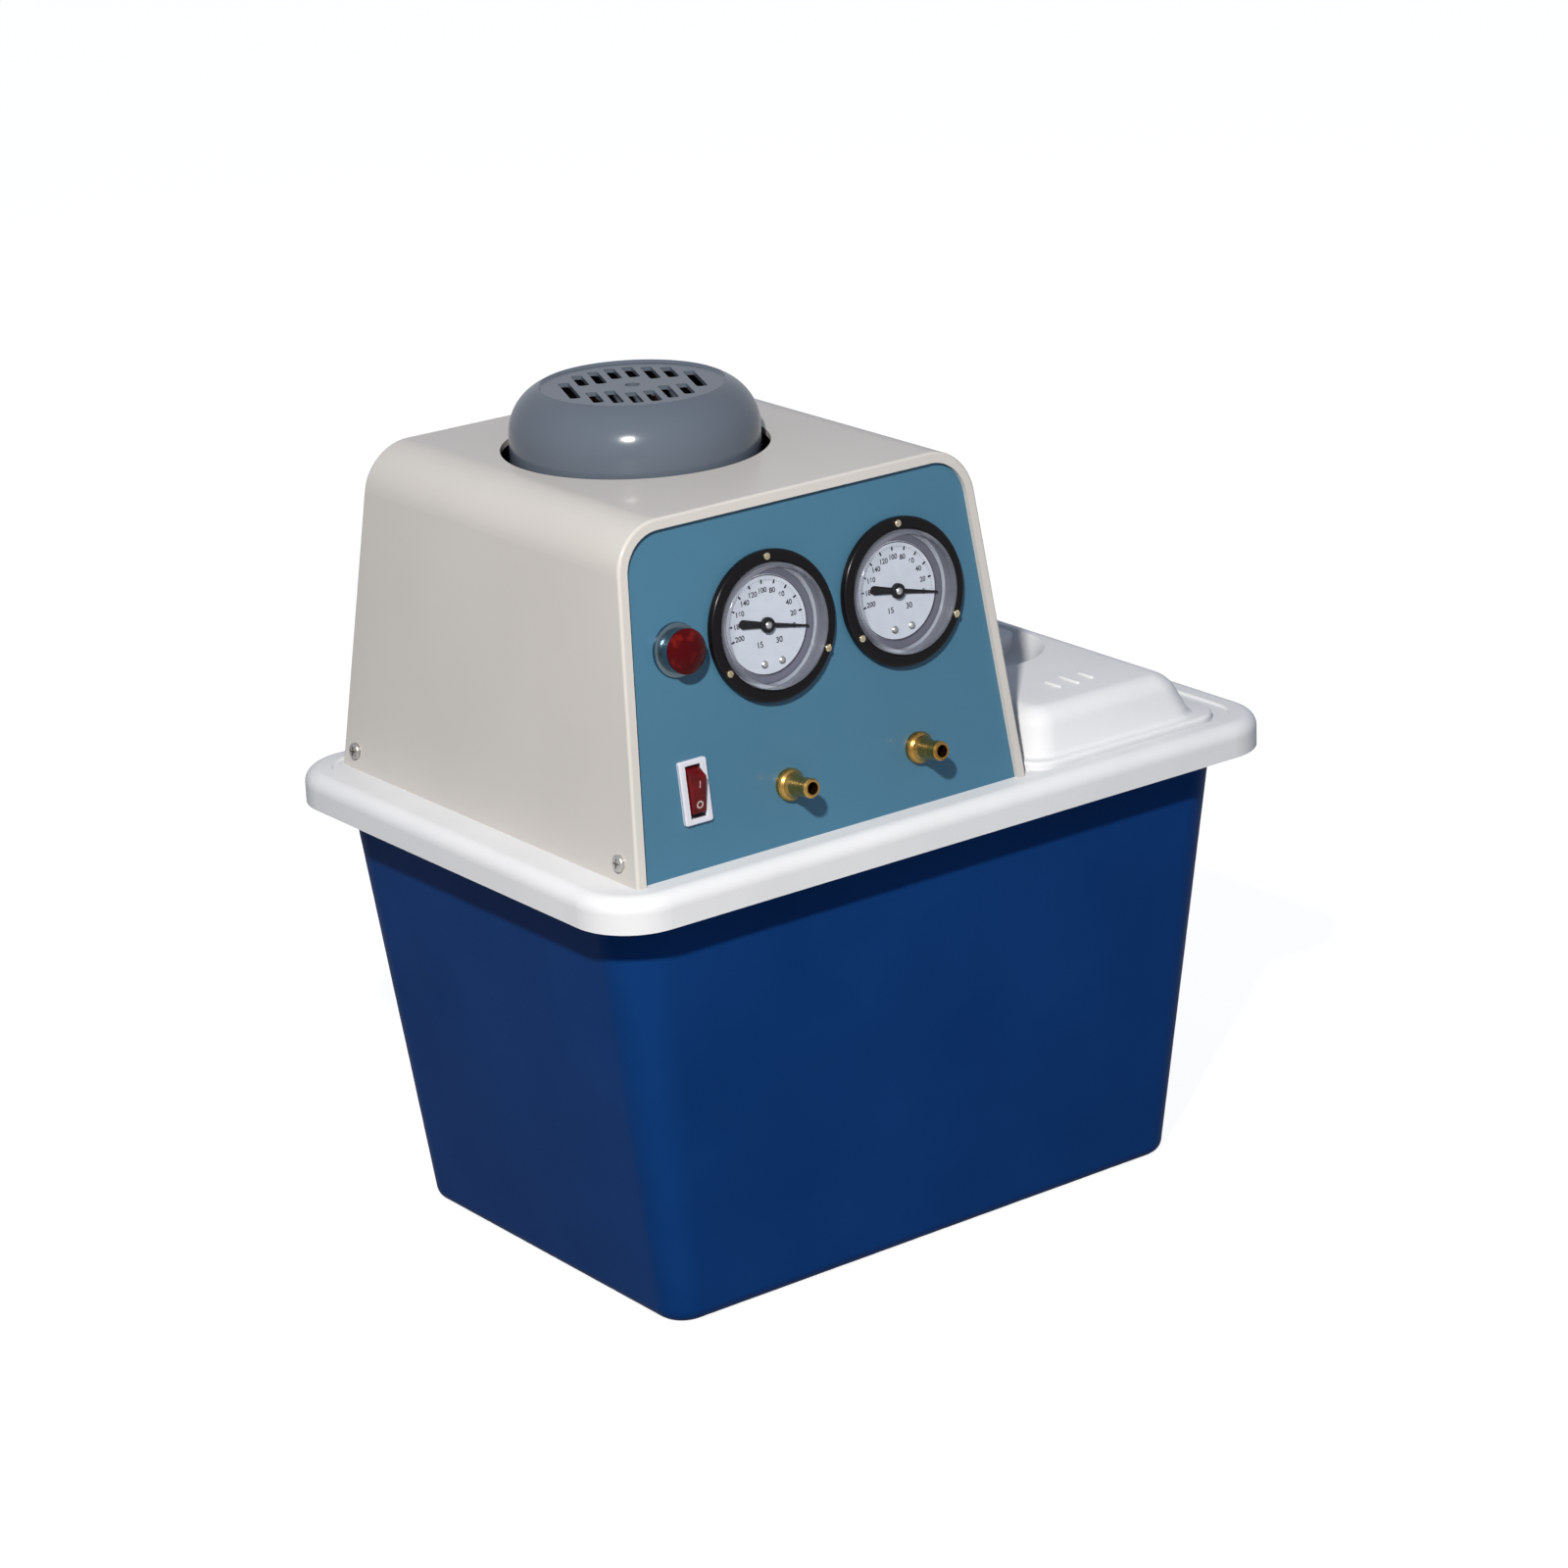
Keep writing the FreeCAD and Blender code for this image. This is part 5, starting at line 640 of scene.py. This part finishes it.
# filler cover: low flange, steep box with a well rounded edge, finger bowl with a bar, three ribs and the lip below
cover = {"flange": (0.11475, 0.1225, 0.251, 0.016), "foot": (0.1115, 0.108, 0.241, 0.015),
         "head": (0.10775, 0.0905, 0.232, 0.013), "bowl": (0.10775, 0.0705, 0.102, 0.035),
         "lip": (0.113, 0.0836, 0.2036, 0.0138), "bed": 0.229, "flangeTop": 0.233, "top": 0.2555,
         "flangeRound": 0.0018, "blend": 0.002, "edge": 0.0085, "wall": 0.0025, "leastCorner": 0.0005,
         "bowlDepth": 0.013, "bowlDraft": 0.007, "bowlEdge": 0.005, "bowlRim": ((0.0006, 0.0009), (-0.0004, 0.0)),
         "lipDepth": 0.007, "lipWall": 0.0025, "hollow": ((0.6, 0.0), (0.2, 0.3), (0.0, 0.6)),
         "bowlUnder": {"draft": 0.7, "rise": 0.001, "edge": 0.6}}
coverBar = {"width": 0.015, "round": 0.003, "drop": 0.0004, "sunk": 0.0012, "gap": 0.0005}
coverRibs = {"across": 0.10775, "along": -0.089, "spacing": 0.0104, "lengths": (0.0108, 0.0146, 0.0108),
             "width": 0.0022, "rise": 0.0011, "sunk": 0.0006, "round": 0.0008}


# one level outline of the cover: a rounded rectangle shrunk by inset, as points at the given height
def coverOutline(bm, shape, inset, level, steps=10):
    middle, length, width, corner = shape
    length, width, corner = length - 2 * inset, width - 2 * inset, max(corner - inset, cover["leastCorner"])
    points = []
    for k, (sx, sy) in enumerate(((1, 1), (-1, 1), (-1, -1), (1, -1))):
        for j in range(steps + 1):
            angle = math.radians(90 * k + 90 * j / steps)
            points.append((middle + sx * (length / 2 - corner) + corner * math.cos(angle),
                           sy * (width / 2 - corner) + corner * math.sin(angle), level))
    return [bm.verts.new(point) for point in points]


# outline between two others, by share
def coverBetween(low, high, share):
    return tuple(a + (b - a) * share for a, b in zip(low, high))


# the shell as level outlines, from the bowl's floor over the rim and down the side to the lip, then back up inside
def buildCover():
    c = cover
    bm = bmesh.new()
    rings = []

    def ring(shape, inset, level):
        rings.append(coverOutline(bm, shape, inset, level))

    def box(level):
        return coverBetween(c["foot"], c["head"], (level - c["flangeTop"]) / (c["top"] - c["flangeTop"]))

    floor = c["top"] - c["bowlDepth"]
    slope = c["bowlDraft"] / c["bowlDepth"]
    for offSine, offCosine in quarterRound(0, 91, 15):
        level = floor + c["bowlEdge"] * offCosine
        ring(c["bowl"], c["bowlDraft"] + c["bowlEdge"] * offSine - (level - floor) * slope, level)
    for inset, drop in c["bowlRim"]:
        ring(c["bowl"], inset, c["top"] - drop)
    for offSine, offCosine in quarterRound(90, -1, -10):
        level = c["top"] - c["edge"] * offSine
        ring(box(level), c["edge"] * offCosine, level)
    for offSine, offCosine in quarterRound(0, 91, 15):
        level = c["flangeTop"] + c["blend"] * offSine
        ring(box(level), -c["blend"] * offCosine, level)
    for offSine, offCosine in quarterRound(90, -1, -15):
        ring(c["flange"], c["flangeRound"] * offCosine, c["flangeTop"] - c["flangeRound"] * offSine)
    ring(c["flange"], 0.0, c["bed"])
    ring(c["lip"], 0.0, c["bed"])
    ring(c["lip"], 0.0, c["bed"] - c["lipDepth"])
    ring(c["lip"], c["lipWall"], c["bed"] - c["lipDepth"])
    ring(c["lip"], c["lipWall"], c["bed"] + c["wall"])
    ring(c["foot"], c["wall"], c["bed"] + c["wall"])
    for down, aside in c["hollow"]:
        level = c["top"] - c["wall"] - c["edge"] * down
        ring(box(level), c["wall"] + c["edge"] * aside, level)
    under = c["bowlUnder"]
    ring(c["bowl"], -c["wall"], c["top"] - c["wall"])
    ring(c["bowl"], c["bowlDraft"] * under["draft"] - c["wall"], floor + under["rise"])
    ring(c["bowl"], c["bowlDraft"] + c["bowlEdge"] * under["edge"], floor - c["wall"])
    for low, high in zip(rings, rings[1:]):
        for k, vert in enumerate(low):
            after = (k + 1) % len(low)
            bm.faces.new((vert, low[after], high[after], high[k]))
    bm.faces.new(rings[0])
    bm.faces.new(rings[-1])
    bmesh.ops.remove_doubles(bm, verts=bm.verts, dist=closeBy)
    bmesh.ops.recalc_face_normals(bm, faces=bm.faces)
    makePiece("coverShell", bm, materials["white_moulding"], "filler_cover", ["filler_cover"],
              crease=40)


# rounded bar or rib: a box with bevelled edges, given by its middle and size
def addBlock(bm, middle, size, edge):
    block = bmesh.new()
    bmesh.ops.create_cube(block, size=1.0)
    bmesh.ops.scale(block, vec=size, verts=block.verts)
    bmesh.ops.bevel(block, geom=block.edges[:], offset=edge, segments=4, profile=0.5, affect="EDGES",
                    clamp_overlap=True)
    bmesh.ops.translate(block, vec=middle, verts=block.verts)
    pourInto(bm, block)


def buildCoverBar():
    c, b, r = cover, coverBar, coverRibs
    middle, bowlLength = c["bowl"][:2]
    bm = bmesh.new()
    top, low = c["top"] - b["drop"], c["top"] - c["bowlDepth"] - b["sunk"]
    addBlock(bm, (middle, 0, (top + low) / 2), (bowlLength - b["gap"], b["width"], top - low), b["round"])
    for index, length in enumerate(r["lengths"]):
        across = r["across"] + (index - 1) * r["spacing"]
        addBlock(bm, (across, r["along"], c["top"] + (r["rise"] - r["sunk"]) / 2),
                 (r["width"], length, r["rise"] + r["sunk"]), r["round"])
    makePiece("coverBar", bm, materials["white_moulding"], "filler_cover", crease=40)


buildCover()
buildCoverBar()
print("cover finished")


# camera at the photograph's place
view = {"lens": 106.31, "sensor": 36.0, "azimuth": -36.66, "elevation": 18.94, "roll": -2.41,
        "place": (-1.2774, -1.7156, 0.9403), "clip": (0.05, 60.0)}


def placeCamera():
    data = bpy.data.cameras.new("camera")
    data.lens = view["lens"]
    data.sensor_width = view["sensor"]
    data.clip_start, data.clip_end = view["clip"]
    camera = bpy.data.objects.new("camera", data)
    scene.collection.objects.link(camera)
    turn = (Matrix.Rotation(math.radians(view["azimuth"]), 4, "Z")
            @ Matrix.Rotation(math.radians(90 - view["elevation"]), 4, "X")
            @ Matrix.Rotation(math.radians(view["roll"]), 4, "Z"))
    camera.matrix_world = Matrix.Translation(view["place"]) @ turn
    scene.camera = camera


# plain studio: pale floor, a key lamp up on the left, a weak soft one in front and an even sky
studio = {"aim": (0.0, 0.0, 0.25), "skyStrength": 0.20, "skyColour": (0.75, 0.92, 1.30), "floorColour": 0.25,
          "floorRough": 0.9, "floorSpecular": 0.1, "floorLift": 0.93, "floorSize": 12.0, "floorDrop": 0.0004,
          "mirrorShare": 0.4,
          "key": {"azimuth": 44.0, "elevation": 35.5, "distance": 2.0, "size": 0.09, "light": 3.65,
                  "colour": (1.0, 0.97, 0.92), "mirrored": True},
          "fill": {"azimuth": -10.0, "elevation": 14.0, "distance": 2.2, "size": 1.2, "light": 0.2,
                   "colour": (0.95, 0.98, 1.0), "mirrored": False}}


# 1 where the floor or the sky is seen straight or through glass, and less where it is mirrored in metal or gloss
def asBackground(graph):
    straight, mirrored, through = [graph.node("ShaderNodeLightPath", out="Is %s Ray" % kind)
                                   for kind in ("Camera", "Glossy", "Transmission")]
    return straight.maths("MAXIMUM", straight.maths("MAXIMUM", straight, through), mirrored * studio["mirrorShare"])


# round lamp aimed at the object, with the light that arrives there given as a sun's strength would be
def hangLamp(name):
    look = studio[name]
    data = bpy.data.lights.new(name + "Lamp", "AREA")
    data.shape = "DISK"
    data.size = look["size"]
    data.color = look["colour"]
    data.energy = look["light"] * math.pi * look["distance"] ** 2
    lamp = bpy.data.objects.new(name + "Lamp", data)
    scene.collection.objects.link(lamp)
    lamp.visible_glossy = look["mirrored"]
    turn = (Matrix.Rotation(math.radians(-look["azimuth"]), 4, "Z")
            @ Matrix.Rotation(math.radians(90 - look["elevation"]), 4, "X"))
    lamp.matrix_world = Matrix.Translation(studio["aim"]) @ turn @ Matrix.Translation((0, 0, look["distance"]))


def lightStudio():
    hangLamp("key")
    hangLamp("fill")
    world = bpy.data.worlds.new("studio")
    scene.world = world
    graph = Graph(world)
    sky = graph.node("ShaderNodeBackground", None, {0: tone(studio["skyColour"]), 1: studio["skyStrength"]})
    white = graph.node("ShaderNodeBackground", None, {0: (1, 1, 1, 1), 1: 1.0})
    both = graph.node("ShaderNodeMixShader", None, {0: asBackground(graph), 1: sky, 2: white})
    graph.node("ShaderNodeOutputWorld", None, {0: both})


def layFloor():
    bm = bmesh.new()
    bmesh.ops.create_grid(bm, x_segments=1, y_segments=1, size=studio["floorSize"] / 2)
    bmesh.ops.translate(bm, vec=(0, 0, -studio["floorDrop"]), verts=bm.verts)
    mesh = bpy.data.meshes.new("floor")
    bm.to_mesh(mesh)
    bm.free()
    material, graph = newMaterial("paleFloor")
    shade = studio["floorColour"]
    glow = graph.blend(asBackground(graph) * studio["floorLift"], (0, 0, 0), (1, 1, 1))
    graph.finish(graph.surface({"Base Color": (shade, shade, shade, 1), "Roughness": studio["floorRough"],
                                "Specular IOR Level": studio["floorSpecular"], "Emission Color": glow,
                                "Emission Strength": 1.0}))
    mesh.materials.append(material)
    floor = bpy.data.objects.new("floor", mesh)
    scene.collection.objects.link(floor)


placeCamera()
lightStudio()
layFloor()
print("studio lit")
